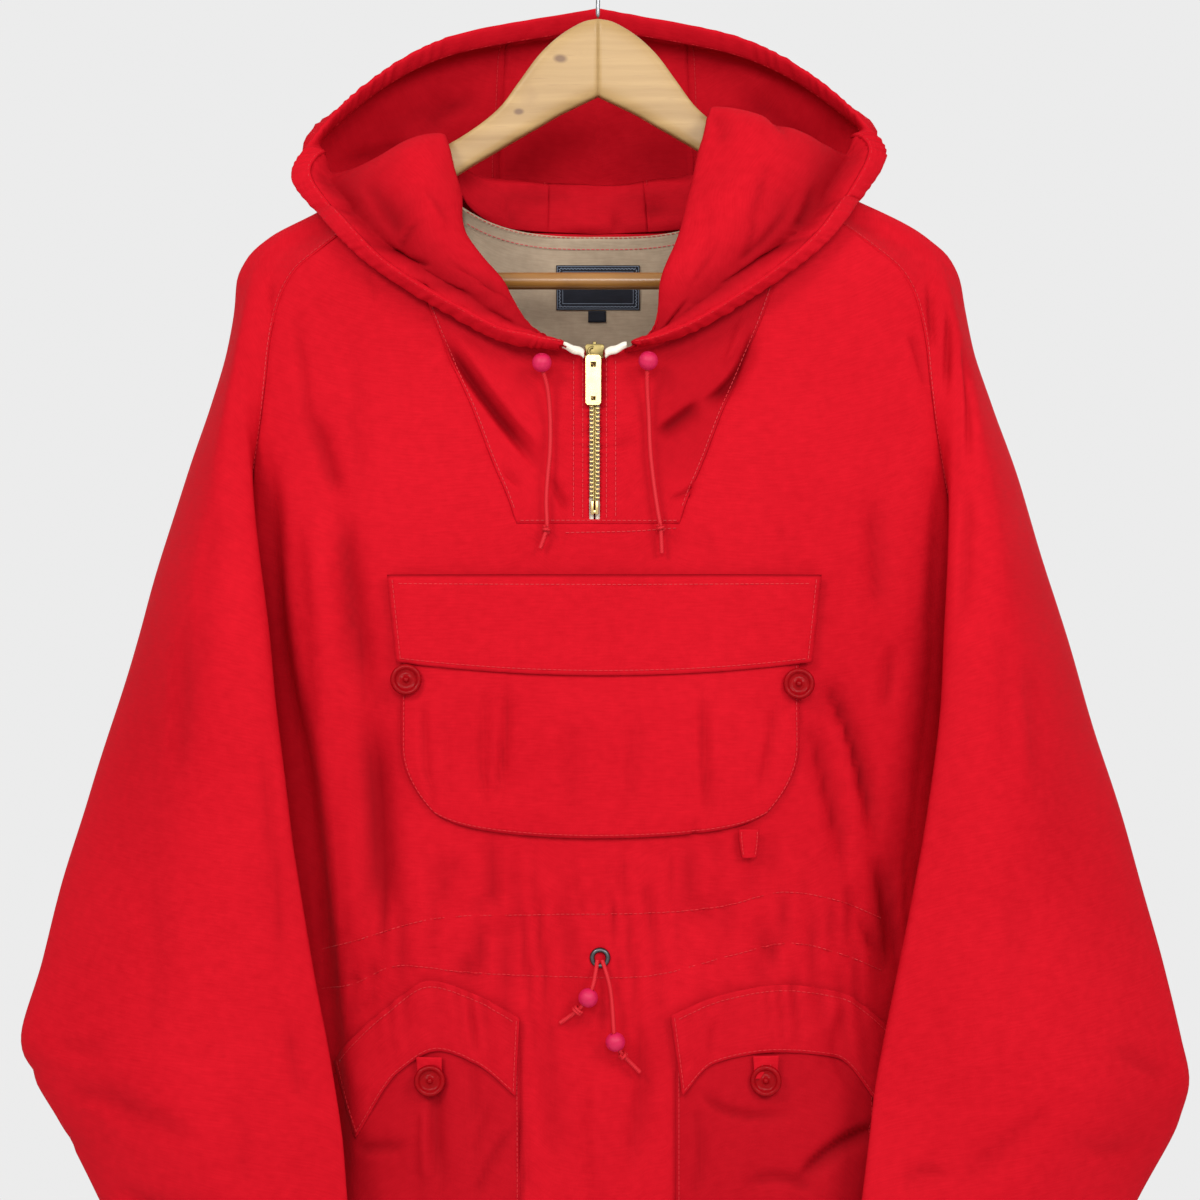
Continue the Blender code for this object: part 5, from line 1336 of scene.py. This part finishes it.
hoodValues = {"bowl": 0.0130, "steep": 0.011, "flat": 0.070, "ruffle": 0.0016, "shade": 0.70,
              "rows": 56, "tuck": 0.0010, "seam": 0.012}
napeCreases = (
    ("x1", "z1", "x2", "z2", "x3", "z3", "wide", "high"),
    (-72, -174, -10, -180, 62, -176, 3.2, -2.4), (4, -196, 22, -186, 58, -179, 2.2, -1.9),
    (-78, -186, -40, -190, -4, -192, 3.5, -0.9), (-60, -176, -58, -186, -50, -194, 2.2, -0.8),
    (30, -184, 34, -190, 44, -194, 2.0, -0.8),
)


def hoodRelief(net, way, depth, rise):
    # depth is the distance back from the casing seam, rise the distance up from the neck
    x, z = net[..., 0], net[..., 2]
    bowl = ease(depth / hoodValues["steep"]) * ease((hoodValues["flat"] - depth) / hoodValues["flat"])
    station = np.minimum(way, 18 - way)
    folds = creases(hoodCreases, x, z) * ease((0.16 - depth) / 0.05)
    folds += creases(napeCreases, x, z) * ease((0.045 - rise) / 0.02) * (np.abs(way - 9) < 3)
    high = folds - hoodValues["bowl"] * bowl * (0.45 + 0.55 * ease((station - 1.2) / 2))
    high += pucker(way * hoodMeasures["stationLong"], depth, 0.010, 0.016, hoodValues["ruffle"], 61)
    high += ripple(x, z, 71, 0.045, 0.0012) * ease(depth / 0.01)
    # The second value returned is painted shade: in the folds, and in the bowl just behind the rim on the
    # front panels
    inFront = 1 - ease((station - 4.6) / 1.6)
    return high, np.minimum(hollows(folds, 0.007) + hoodValues["shade"] * bowl * inFront, 1)


hoodNets = {}


def hoodPanel(name, node, ways, cut, flip):
    rows = hoodValues["rows"]
    r = hoodRows(ways, rows, -0.0030)
    way = np.broadcast_to(ways, r.shape)
    net = hoodAt(way, r)
    steps = np.linalg.norm(np.diff(net, axis=0), axis=2)
    edge = np.zeros((1, len(ways)))
    depth = np.concatenate((np.cumsum(steps[::-1], 0)[::-1], edge))
    rise = np.concatenate((edge, np.cumsum(steps, 0)))
    normal = netNormals(net)
    normal *= -np.sign(normal[rows // 2:, :, 1].mean())
    seam = ease(rise / hoodValues["seam"])
    fromSeam = np.abs(np.minimum(way, 18 - way) - centre)
    tuck = hoodValues["tuck"] * ease((0.05 - fromSeam) / 0.05) * (cut == "hoodSide")
    high, deep = hoodRelief(net, way, depth, rise)
    net = net + normal * (high * seam - tuck)[..., None]
    hoodNets[name] = net
    clothPiece(name, net, [node], *cutList[cut], flip=flip, offset=0, paintedShade=deep * seam)


centre = hoodMeasures["centreSeam"]
sideWays = np.linspace(0.30, centre + 0.03, 121)
hoodPanel("hoodSideLeft", "hood_left", sideWays, "hoodSide", False)
hoodPanel("hoodSideRight", "hood_right", 18 - sideWays, "hoodSide", True)
middleWays = np.linspace(centre + 0.003, 18 - centre - 0.003, 33)
hoodPanel("hoodCentre", "hood_centre", middleWays, "hoodCentre", False)

casingValues = {"start": 0.36, "ways": 481, "puff": 0.0020, "pucker": 0.0004, "puckerSize": 0.0085,
                "wave": 0.0006, "waveSize": 0.013, "endThin": 0.35, "stitch": 0.0012}


def casingPiece():
    # The brim's folded tunnel, gathered on its cord
    first, count = casingValues["start"], casingValues["ways"]
    ways = np.linspace(first, 18 - first, count)
    start = hoodRows(ways, 1, 0.0)[1]
    shares = np.linspace(0, 1, 5)
    f, way = np.meshgrid(shares, ways, indexing="ij")
    normal = netNormals(hoodAt(way, mix(start[None], 4.0, f)))
    around = np.linspace(0, 2 * math.pi, 19)[:, None]
    share = 0.5 - 0.5 * squared(np.cos(around), 0.8)
    at = hoodAt(np.broadcast_to(ways, (19, count)), mix(start[None], 4.0, share))
    lift = np.stack([np.stack([np.interp(share[:, 0], shares, normal[:, k, c]) for c in range(3)], -1)
                     for k in range(count)], 1)
    length = way[0] * hoodMeasures["stationLong"]
    puff = casingValues["puff"] + pucker(length, 0, casingValues["puckerSize"], 1, casingValues["pucker"], 83)
    thick = squared(np.sin(around), 0.7) * puff[None]
    wave = pucker(length + 0.006 * f[2], 0, casingValues["waveSize"], 1, casingValues["wave"], 89)[None]
    wave = wave * np.minimum(1, share * 1.5)
    ends = ease(np.minimum(ways - first, 18 - first - ways) / 0.3)[None]
    net = at + lift * ((thick + wave) * mix(casingValues["endThin"], 1, ends))[..., None]
    clothPiece("hoodCasing", net, ["hood_casing"], *cutList["casing"], thick=0.0006)
    for lineSide in (1, -1):
        lifted = normal[0] * lineSide
        inner = hoodAt(ways, mix(start, 4.0, 0.10)) + lifted * casingValues["stitch"]
        stitchLine(inner, lifted, "hood")


casingPiece()
print("hood made")


# Neck facing with its woven label

facingValues = {"half": 0.088, "topSide": -0.180, "low": -0.31, "lowRise": 0.075, "slackAndShade": 0.0004,
                "stitchDrops": ((0.0020, "body"), (0.0095, "facing"))}
labelValues = {
    "label": (-0.0272, 0.0272, -0.2180, -0.2468), "tab": (-0.0064, 0.0052, -0.2473, -0.2548),
    "inset": 0.0022, "tooth": 0.0011, "pitch": 0.0022, "lines": (0.0042, 0.0007),
}
towardsFront = (0, -1, 0)


def insideBack(x, z, high):
    return back(x, z, -bodyMeasures["cloth"] - high)


def facingPiece():
    half, topSide = facingValues["half"], facingValues["topSide"]
    p, q = params(60, 34)
    p = 2 * p - 1
    top = mix(bodyMeasures["neckBack"], topSide, np.abs(p) ** 3) - 0.0015
    z = mix(top, facingValues["low"] + facingValues["lowRise"] * p * p, q)
    net = insideBack(p * half, z, 0.0008 + ripple(p * half, z, 91, 0.05, facingValues["slackAndShade"], 0.5))
    clothPiece("neckFacing", net, ["neck_facing"], *cutList["facing"], material=beigeCotton,
               slot="beige_cotton")
    ends = np.linspace(-0.97, 0.97, 90)
    for drop, group in facingValues["stitchDrops"]:
        z = mix(bodyMeasures["neckBack"], topSide, np.abs(ends) ** 3) - drop
        stitchLine(insideBack(ends * half, z, 0.0024), towardsFront, group)


def labelPiece(name, node, box, columns, rows):
    left, right, top, low = box
    p, q = params(columns, rows)
    net = insideBack(mix(left, right, p), mix(top, low, q), 0.0026)
    clothPiece(name, net, [node], (right - left, top - low), None, material=navyWoven, slot="navy_woven",
               thick=0.0006)


def labelBorder():
    # A zigzag woven round the label's edge, and plain lines inside and outside it
    left, right, top, low = labelValues["label"]
    inset, tooth, pitch = labelValues["inset"], labelValues["tooth"], labelValues["pitch"]

    def border(x, z, every, long, thick):
        stitchLine(insideBack(x, z, 0.0032), towardsFront, "label", every=every, long=long, thick=thick)

    def zigzag(count):
        return tooth * (np.arange(count) % 2 - 0.5)

    for edge in (top - inset, low + inset):
        x = np.arange(left + inset, right - inset, pitch / 2)
        border(x, edge + zigzag(len(x)), pitch / 4, pitch / 3.2, 0.0003)
    for edge in (left + inset, right - inset):
        z = np.arange(low + inset, top - inset, pitch / 2)
        border(edge + zigzag(len(z)), z, pitch / 4, pitch / 3.2, 0.0003)
    t = np.linspace(0, 1, 20)
    for grow in labelValues["lines"]:
        corners = [(left + grow, top - grow), (right - grow, top - grow), (right - grow, low + grow),
                   (left + grow, low + grow), (left + grow, top - grow)]
        for (xa, za), (xb, zb) in zip(corners, corners[1:]):
            border(mix(xa, xb, t), mix(za, zb, t), 0.0011, 0.0010, 0.00025)


facingPiece()
labelPiece("neckLabel", "label", labelValues["label"], 30, 16)
labelPiece("sizeTab", "size_tab", labelValues["tab"], 8, 6)
labelBorder()
print("facing and label made")


# Pockets, flaps and tabs on the front

pocketValues = {
    "bag": {"x": 0.0015, "half": 0.1205, "top": -0.4280, "low": -0.5805, "corner": 0.020},
    "flap": {"x": 0.0040, "top": (0.1315, -0.4212), "low": (0.1255, -0.4822), "curve": 0.008},
    "loop": {"x": 0.0908, "half": 0.0060, "top": -0.5750, "low": -0.5925},
    "hip": {"inner": 0.047, "outer": 0.168, "below": 0.012, "low": -0.882, "corner": 0.016},
    "tab": {"left": (-0.1012, -0.7270), "right": (0.1008, -0.7262), "tall": 0.0140, "half": (0.0078, 0.0070)},
}
layer, trim = bodyMeasures["layer"], bodyMeasures["trim"]
flapLift = layer + 2 * trim + 0.0014
endsOfEdge = {"l": ((0, 0), (0, 1)), "r": ((1, 0), (1, 1)), "t": ((0, 0), (1, 0)), "b": ((0, 1), (1, 1))}


def patchPiece(name, node, net, outline, out, cut, seed, thick=trim, rumple=0.0004, shade=0.0, topEdgeShade=0.0):
    # A flat piece on the front; outline gives the x and z of each share of its width and height. Its colour
    # carries painted shade in its creases, an even painted shade over the whole piece, and a painted shade
    # line along its top edge
    flat, area = cutList[cut]
    p, q = params(*net)
    x, z = outline(p, q)
    edge = np.minimum(np.minimum(p, 1 - p) * flat[0], np.minimum(q, 1 - q) * flat[1])
    high = (ripple(x, z, 100 + seed, 0.035, rumple) + 0.0006) * ease(edge / 0.012)
    high = high + pucker(x + z, edge - 0.004, 0.006, 0.004, 0.00022, seed)
    deep = np.clip(hollows(foldRelief(x, z, -1, 3)) + shade + topEdgeShade * (q == 0), 0, 1)
    clothPiece(name, front(x, z, out + high), [node] if node else [], flat, area, flip=True, thick=thick,
               paintedShade=deep)

    def border(inset, sides, **values):
        # A stitch line this far in from each of these sides
        share = inset / flat[0], inset / flat[1]
        t = np.linspace(0, 1, 60)
        for key in sides:
            ends = np.clip(endsOfEdge[key], share, (1 - share[0], 1 - share[1]))
            x, z = outline(mix(ends[0][0], ends[1][0], t), mix(ends[0][1], ends[1][1], t))
            on = front(x, z, out + 0.0004)
            stitchLine(on, front(x, z, out + 0.0024) - on, **values)

    return border


def chestBag(p, q):
    bag = pocketValues["bag"]
    a = 2 * p - 1
    low = bag["low"] + 0.009 * a ** 2 + 0.006 * a ** 8
    roundOff = bag["corner"] * np.maximum(0.0, (q - 0.7) / 0.3) ** 2
    return bag["x"] + a * (bag["half"] - roundOff), mix(bag["top"], low, q)


def chestFlap(p, q):
    flap = pocketValues["flap"]
    (topHalf, top), (lowHalf, low) = flap["top"], flap["low"]
    a = 2 * p - 1
    return flap["x"] + a * mix(topHalf, lowHalf, q), mix(top, low + flap["curve"] * a * a, q)


def loopTab(p, q):
    loop = pocketValues["loop"]
    return loop["x"] + (2 * p - 1) * (loop["half"] - 0.002 * q * q), mix(loop["top"], loop["low"], q)


border = patchPiece("chestPocket", "chest_pocket", (90, 50), chestBag, layer + trim, "chestPocket", 1)
border(0.0018, "lrb")
# The chest flap gets a painted shade line along its top edge
border = patchPiece("chestFlap", "chest_flap", (96, 26), chestFlap, flapLift, "chestFlap", 2, topEdgeShade=1.0)
border(0.0062, "t")
border(0.0030, "lrb")
border = patchPiece("loopTab", "loop_tab", (12, 16), loopTab, flapLift + 0.0004, "loopTab", 3,
                    thick=0.0012, rumple=0.0001)
border(0.0012, "lr", every=0.0024, long=0.0016)


def hipPocket(side):
    hand = "left" if side < 0 else "right"
    cap = hand.capitalize()
    hip, tabValues = pocketValues["hip"], pocketValues["tab"]

    def edgeAt(edge, p):
        # The flap's top or low edge, at this share of its width
        p = p if side > 0 else 1 - p
        return side * smooth(hipFlap, f"{edge}_{hand}", p), smooth(hipFlap, f"{edge}_{hand}_z", p)

    def bag(p, q):
        low = hip["low"] + hip["corner"] * (np.maximum(0.0, np.abs(2 * p - 1) - 0.6) / 0.4) ** 1.5
        reach = mix(hip["inner"], hip["outer"], p if side > 0 else 1 - p)
        return side * reach, mix(edgeAt("top", p)[1] - hip["below"], low, q)

    def flap(p, q):
        top, low = edgeAt("top", p), edgeAt("low", p)
        return mix(top[0], low[0], q), mix(top[1], low[1], q)

    def tab(p, q):
        x, low = tabValues[hand]
        return x + (2 * p - 1) * mix(*tabValues["half"], q), mix(low + tabValues["tall"], low, q)

    # The hip pocket bags get an even painted shade, the flaps a lighter one
    border = patchPiece("hipPocket" + cap, "hip_pocket_" + hand, (50, 66), bag, layer + trim,
                        "hipPocket", 11 + side, shade=0.34)
    border(0.0018, "lrb")
    border = patchPiece("hipFlap" + cap, "hip_flap_" + hand, (60, 26), flap, flapLift, "hipFlap",
                        14 + side, shade=0.12)
    border(0.0022, "lrb")
    border(0.0045, "t")
    border = patchPiece("hipTab" + cap, None, (12, 12), tab, flapLift + 0.0014, "hipTab", 17 + side,
                        thick=0.0008, rumple=0.0001)
    border(0.0050, "lr", every=0.0016, long=0.0012)


hipPocket(-1)
hipPocket(1)
print("pockets made")


channelValues = {"top": -0.634, "low": -0.674, "behind": 0.0035}


def channelPiece():
    # The drawstring's tunnel, round the inside of the front and the back
    i, q = params(240, 10)
    turn = 4 * i
    inFront = turn < 2
    u = np.where(inFront, turn - 1, 3 - turn)
    z = mix(channelValues["top"], channelValues["low"], q)
    out = -bodyMeasures["cloth"] - channelValues["behind"]
    net = np.where(inFront[..., None], bodyPoint(u, z, -1, out), bodyPoint(u, z, 1, out))
    clothPiece("waistChannel", net, ["waist_channel"], *cutList["waistChannel"], flip=True, closed=True)


channelPiece()


# Zip: tapes, teeth, stop, slider and pull tab

zipValues = {
    "x": bodyMeasures["zipX"], "pitch": 0.0026, "top": -0.2925, "low": -0.3760,
    "tooth": (0.0026, 0.0026, 0.0013),
    "tapeTop": -0.2855, "tapeLow": -0.3895, "tapeInner": 0.0006, "tapeOuter": 0.0125,
    "stop": -0.3803,
    "stopBoxes": (((0.0020, 0.0026, 0.0085), -0.0014, 0), ((0.0020, 0.0026, 0.0085), 0.0014, 0),
                  ((0.0042, 0.0022, 0.0022), 0, -0.0026)),
    "slider": -0.2848, "posts": ((-0.0046, 0.0006, 0.0016), (0.0046, 0.0006, 0.0016), (0, 0.0034, 0.0022)),
}


def thickPiece(name, net, material, flip, thick, offset=-1.0):
    wall = addPiece(name, netMesh(net, flip=flip), material, ()).modifiers.new("wall", "SOLIDIFY")
    wall.thickness, wall.offset = thick, offset


def zipTapes(side, name):
    middle, flip = zipValues["x"], side > 0
    p, q = params(6, 50)
    x = middle + side * mix(zipValues["tapeInner"], zipValues["tapeOuter"], p)
    net = front(x, mix(zipValues["tapeTop"], zipValues["tapeLow"], q), -0.0017)
    clothPiece("zipTape" + name, net, ["zip_tape_" + name.lower()], *cutList["zipTape"], flip=flip,
               thick=0.0007, material=creamTape, slot="cream_tape")
    # The tape's free end is turned outwards above the zip
    p, q = params(14, 8)
    wide = mix(0.0022, -0.0022, q) * (1 - 0.35 * p ** 4)
    z = mix(-0.2873, -0.2822, p ** 0.8) + wide + 0.0004 * np.sin(9 * p)
    out = 0.0062 + 0.0018 * np.sin(math.pi * q) + 0.0022 * p
    net = front(middle + side * mix(0.0065, 0.0195, p), z, out)
    thickPiece("zipTapeEnd" + name, net, creamTape, flip, 0.0012, 0)
    # A dark brass strip behind the middle of the teeth, standing in for the shade between them: painted shade
    p, q = params(3, 60)
    net = front(middle + side * mix(0.0, 0.0013, p), mix(-0.2895, -0.3770, q), 0.0003)
    thickPiece("zipShadeStrip" + name, net, dullBrassAndShade, flip, 0.0008)


def zipPieces():
    middle = zipValues["x"]
    zipTapes(-1, "Left")
    zipTapes(1, "Right")
    teeth = []
    for k in range(int((zipValues["top"] - zipValues["low"]) / zipValues["pitch"])):
        for side in (-1, 1):
            z = zipValues["top"] - zipValues["pitch"] * (k + (0.5 if side > 0 else 0))
            spot = front(middle + side * 0.0018, z, 0.0012)
            teeth.append(boxMesh(zipValues["tooth"], spot, 0.00035, segments=1))
    addPiece("zipTeeth", joined(teeth), brass, ["zip_chain"])
    stopSpot = front(middle, zipValues["stop"], 0.0014)
    stop = []
    for size, x, z in zipValues["stopBoxes"]:
        stop.append(boxMesh(size, stopSpot + np.array((x, 0, z)), 0.0005))
    addPiece("zipStop", joined(stop), brass, ["zip_stop"])


def sliderPlate(centre):
    # The slider's front plate, wider at the top
    plate = bmesh.new()
    half = [(0.0048, 0.0044), (0.0061, 0.0030), (0.0052, -0.0020), (0.0036, -0.0046)]
    outline = [(-x, z) for x, z in reversed(half[:2])] + half + [(-x, z) for x, z in reversed(half[2:])]
    cap = plate.faces.new([plate.verts.new((x, -0.0008, z)) for x, z in outline])
    grown = bmesh.ops.extrude_face_region(plate, geom=[cap])["geom"]
    grown = [v for v in grown if isinstance(v, bmesh.types.BMVert)]
    bmesh.ops.translate(plate, verts=grown, vec=(0, 0.0016, 0))
    bmesh.ops.recalc_face_normals(plate, faces=plate.faces)
    bmesh.ops.bevel(plate, geom=plate.edges[:], offset=0.0004, segments=2, profile=0.5, affect="EDGES",
                    material=-1)
    bmesh.ops.translate(plate, verts=plate.verts, vec=centre)
    return plate


def sliderBridge(centre):
    # The loop that the pull tab hangs from
    bridge = bmesh.new()
    bmesh.ops.create_circle(bridge, cap_ends=True, segments=10, radius=0.0009)
    bmesh.ops.translate(bridge, verts=bridge.verts, vec=(0.0028, 0, 0))
    bmesh.ops.spin(bridge, geom=bridge.faces[:] + bridge.edges[:] + bridge.verts[:], cent=(0, 0, 0),
                   axis=(0, 1, 0), angle=math.pi, steps=12, use_merge=False)
    bmesh.ops.recalc_face_normals(bridge, faces=bridge.faces)
    bmesh.ops.rotate(bridge, verts=bridge.verts, cent=(0, 0, 0), matrix=Matrix.Rotation(math.pi / 2, 3, "Y"))
    bmesh.ops.translate(bridge, verts=bridge.verts, vec=centre)
    return bridge


def sliderPiece():
    middle, high = zipValues["x"], zipValues["slider"]
    face = float(front(middle, -0.283)[1])
    body = [sliderPlate((middle, face - 0.0038, high)),
            boxMesh((0.0110, 0.0012, 0.0080), (middle, face - 0.0007, high), 0.0005)]
    for x, z, size in zipValues["posts"]:
        body.append(boxMesh((size, 0.0030, 0.0052), (middle + x, face - 0.0022, high + z), 0.0004))
    body.append(sliderBridge((middle - 0.0008, face - 0.0052, high - 0.0004)))
    addPiece("zipSlider", joined(body), dullBrassAndShade, ["zip_slider"])


pullValues = {
    "half": 0.0046, "long": 0.0303, "top": 0.0010, "thick": 0.0012, "round": 0.0002,
    "slots": ((0.0018, -0.0030, -0.0065), (0.0016, -0.0240, -0.0268)),
}


def pullPiece():
    low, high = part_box("zip_pull")
    data = bpy.data.curves.new("pullOutline", "CURVE")
    data.dimensions, data.fill_mode = "2D", "BOTH"
    data.extrude = pullValues["thick"] / 2 - pullValues["round"]
    data.bevel_depth = pullValues["round"]
    data.bevel_resolution = 2
    wide, top = pullValues["half"], pullValues["top"]
    foot = top - pullValues["long"]

    def loop(corners):
        run = data.splines.new("POLY")
        run.points.add(len(corners) - 1)
        run.use_cyclic_u = True
        for point, (x, y) in zip(run.points, corners):
            point.co = (x, y, 0, 1)

    loop(((-wide + 0.0012, top), (wide - 0.0012, top), (wide, top - 0.0015), (wide, foot + 0.0012),
          (wide - 0.0012, foot), (-wide + 0.0012, foot), (-wide, foot + 0.0012), (-wide, top - 0.0015)))
    for x, ya, yb in pullValues["slots"]:
        loop(((-x, ya), (-x, yb), (x, yb), (x, ya)))
    outline = bpy.data.objects.new("pullOutline", data)
    bpy.context.scene.collection.objects.link(outline)
    bpy.context.view_layer.update()
    mesh = outline.evaluated_get(bpy.context.evaluated_depsgraph_get()).to_mesh()
    bm = bmesh.new()
    bm.from_mesh(mesh)
    bpy.data.objects.remove(outline)
    bmesh.ops.remove_doubles(bm, verts=bm.verts, dist=1e-6)
    bmesh.ops.rotate(bm, verts=bm.verts, cent=(0, 0, 0), matrix=Matrix.Rotation(math.pi / 2, 3, "X"))
    middle = (Vector(low) + Vector(high)) / 2
    bmesh.ops.translate(bm, verts=bm.verts, vec=(middle.x, middle.y, high[2] - top))
    bmesh.ops.recalc_face_normals(bm, faces=bm.faces)
    addPiece("zipPull", bm, brass, ["zip_pull"], body="pull_tab", smoothed=False)


zipPieces()
sliderPiece()
pullPiece()
print("zip made")


# Buttons and eyelet

buttonValues = {
    "wide": 0.019, "high": 0.0060, "tiltLeft": (0.10, -1, 0.06), "tiltRight": (-0.08, -1, 0.06),
    "places": (("Chest", "Left", -0.1154, -0.4848), ("Chest", "Right", 0.1211, -0.4872),
               ("Hip", "Left", -0.1012, -0.7271), ("Hip", "Right", 0.1008, -0.7271)),
}


def buttonPieces():
    r = buttonValues["wide"] / 2
    profile = [(0, 0.0030), (0.0010, 0.00295), (0.0015, 0.0024), (0.0016, 0.0015), (r - 0.0042, 0.0014),
               (r - 0.0032, 0.0020), (r - 0.0026, 0.0031), (r - 0.0018, 0.0036), (r - 0.0008, 0.0034),
               (r - 0.0001, 0.0024), (r, 0.0016), (r - 0.0008, 0.0004), (r - 0.0016, 0.0), (0, 0.0)]
    for spot, hand, x, z in buttonValues["places"]:
        node = f"button_{spot}_{hand}".lower()
        place = front(x, z, buttonValues["high"])
        place[1] = min(place[1], float(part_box(node)[1][1]))
        button = turnedMesh(profile, 48, place, buttonValues["tilt" + hand])
        addPiece("button" + spot + hand, button, redButton, [node])


eyeletValues = {"x": 0.0013, "z": -0.6529, "out": 0.0008, "lean": (0, -1, 0.02)}


def eyeletPiece():
    ring = [(0.0033, 0.0004), (0.0036, 0.0012), (0.0044, 0.0017), (0.0052, 0.0016), (0.0060, 0.0009),
            (0.0063, 0.0001), (0.0062, -0.0006), (0.0034, -0.0006)]
    place = front(eyeletValues["x"], eyeletValues["z"], eyeletValues["out"])
    ringMesh = turnedMesh(ring, 40, place, eyeletValues["lean"])
    addPiece("waistEyelet", ringMesh, gunmetal, ["waist_eyelet"])


buttonPieces()
eyeletPiece()
print("buttons and eyelet made")


# Seam stitches on the body, yoke, zip, sleeves and waist

stitchValues = {
    "out": 0.0003, "yokeInset": 0.0022, "zipLines": ((0.0072, -0.288), (0.0128, -0.290)), "zipEnd": -0.386,
    "hem": (0.003, 0.024), "hemHalf": 0.22, "sleeveColumns": (1, -2), "cuffRows": (-2, -9), "hoodOut": 0.0008,
}
yokeFoot = ((-0.0475, -0.3880), (0, -0.3880), (0.0475, -0.3880))
yokeFold = ((-0.020, -0.3955), (0.02, -0.3945), (0.049, -0.3925))
waistUpper = ((-0.175, -0.652), (-0.150, -0.645), (-0.100, -0.630), (-0.040, -0.627), (0.030, -0.626),
              (0.075, -0.622), (0.112, -0.614), (0.147, -0.620), (0.175, -0.632))
waistLower = ((-0.175, -0.676), (-0.150, -0.671), (-0.122, -0.659), (-0.080, -0.662), (-0.030, -0.664),
              (0.030, -0.664), (0.080, -0.652), (0.116, -0.645), (0.147, -0.652), (0.175, -0.664))


def seamStitches():
    out, hem, half = stitchValues["out"], bodyMeasures["hem"], stitchValues["hemHalf"]
    heights = np.linspace(-0.230, -0.388, 60)[::4]
    inner = smooth(yokeEdge, "x", heights) - stitchValues["yokeInset"]
    for side in (-1, 1):
        stitchFront(list(zip(side * inner, heights)), out)
        for away, top in stitchValues["zipLines"]:
            x = zipValues["x"] + side * away
            stitchFront([(x, top), (x, stitchValues["zipEnd"])], out)
        for rise in stitchValues["hem"]:
            stitchFront([(side * half * share, hem + rise) for share in (1, 0.5, 0)], out, count=120)
    stitchFront(yokeFoot, out)
    stitchFront(yokeFold, out)
    stitchFront(waistUpper, out, count=160)
    stitchFront(waistLower, out, count=160)
    for z in (channelValues["top"], channelValues["low"]):
        line = np.linspace(-0.19, 0.19, 160)
        on = back(line, z, out)
        stitchLine(on, back(line, z, out + 0.002) - on)
    for side, net in sleeveNets.items():
        normal = netNormals(net) * -side
        keep = net[:, 0, 2] > seamHeights[-1]
        lifted = net + normal * out
        for column in stitchValues["sleeveColumns"]:
            stitchLine(lifted[keep, column], normal[keep, column])
        for row in stitchValues["cuffRows"]:
            stitchLine(lifted[row], normal[row])
    for name in ("hoodSideLeft", "hoodSideRight"):
        seam = hoodNets[name][4:, -2]
        normal = netNormals(hoodNets[name])[4:, -2]
        for lift in (1, -1):
            stitchLine(seam + normal * lift * stitchValues["hoodOut"], normal * lift, "hood")


seamStitches()
threads = {"body": (redThread, "red_cotton"), "hood": (redThread, "red_cotton"),
           "facing": (pinkThread, "red_cotton"), "label": (paleThread, "navy_woven")}
for group, bm in stitchGroups.items():
    thread, slot = threads[group]
    addPiece("stitches" + group.capitalize(), bm, thread, (), smoothed=False)
print("stitches made")
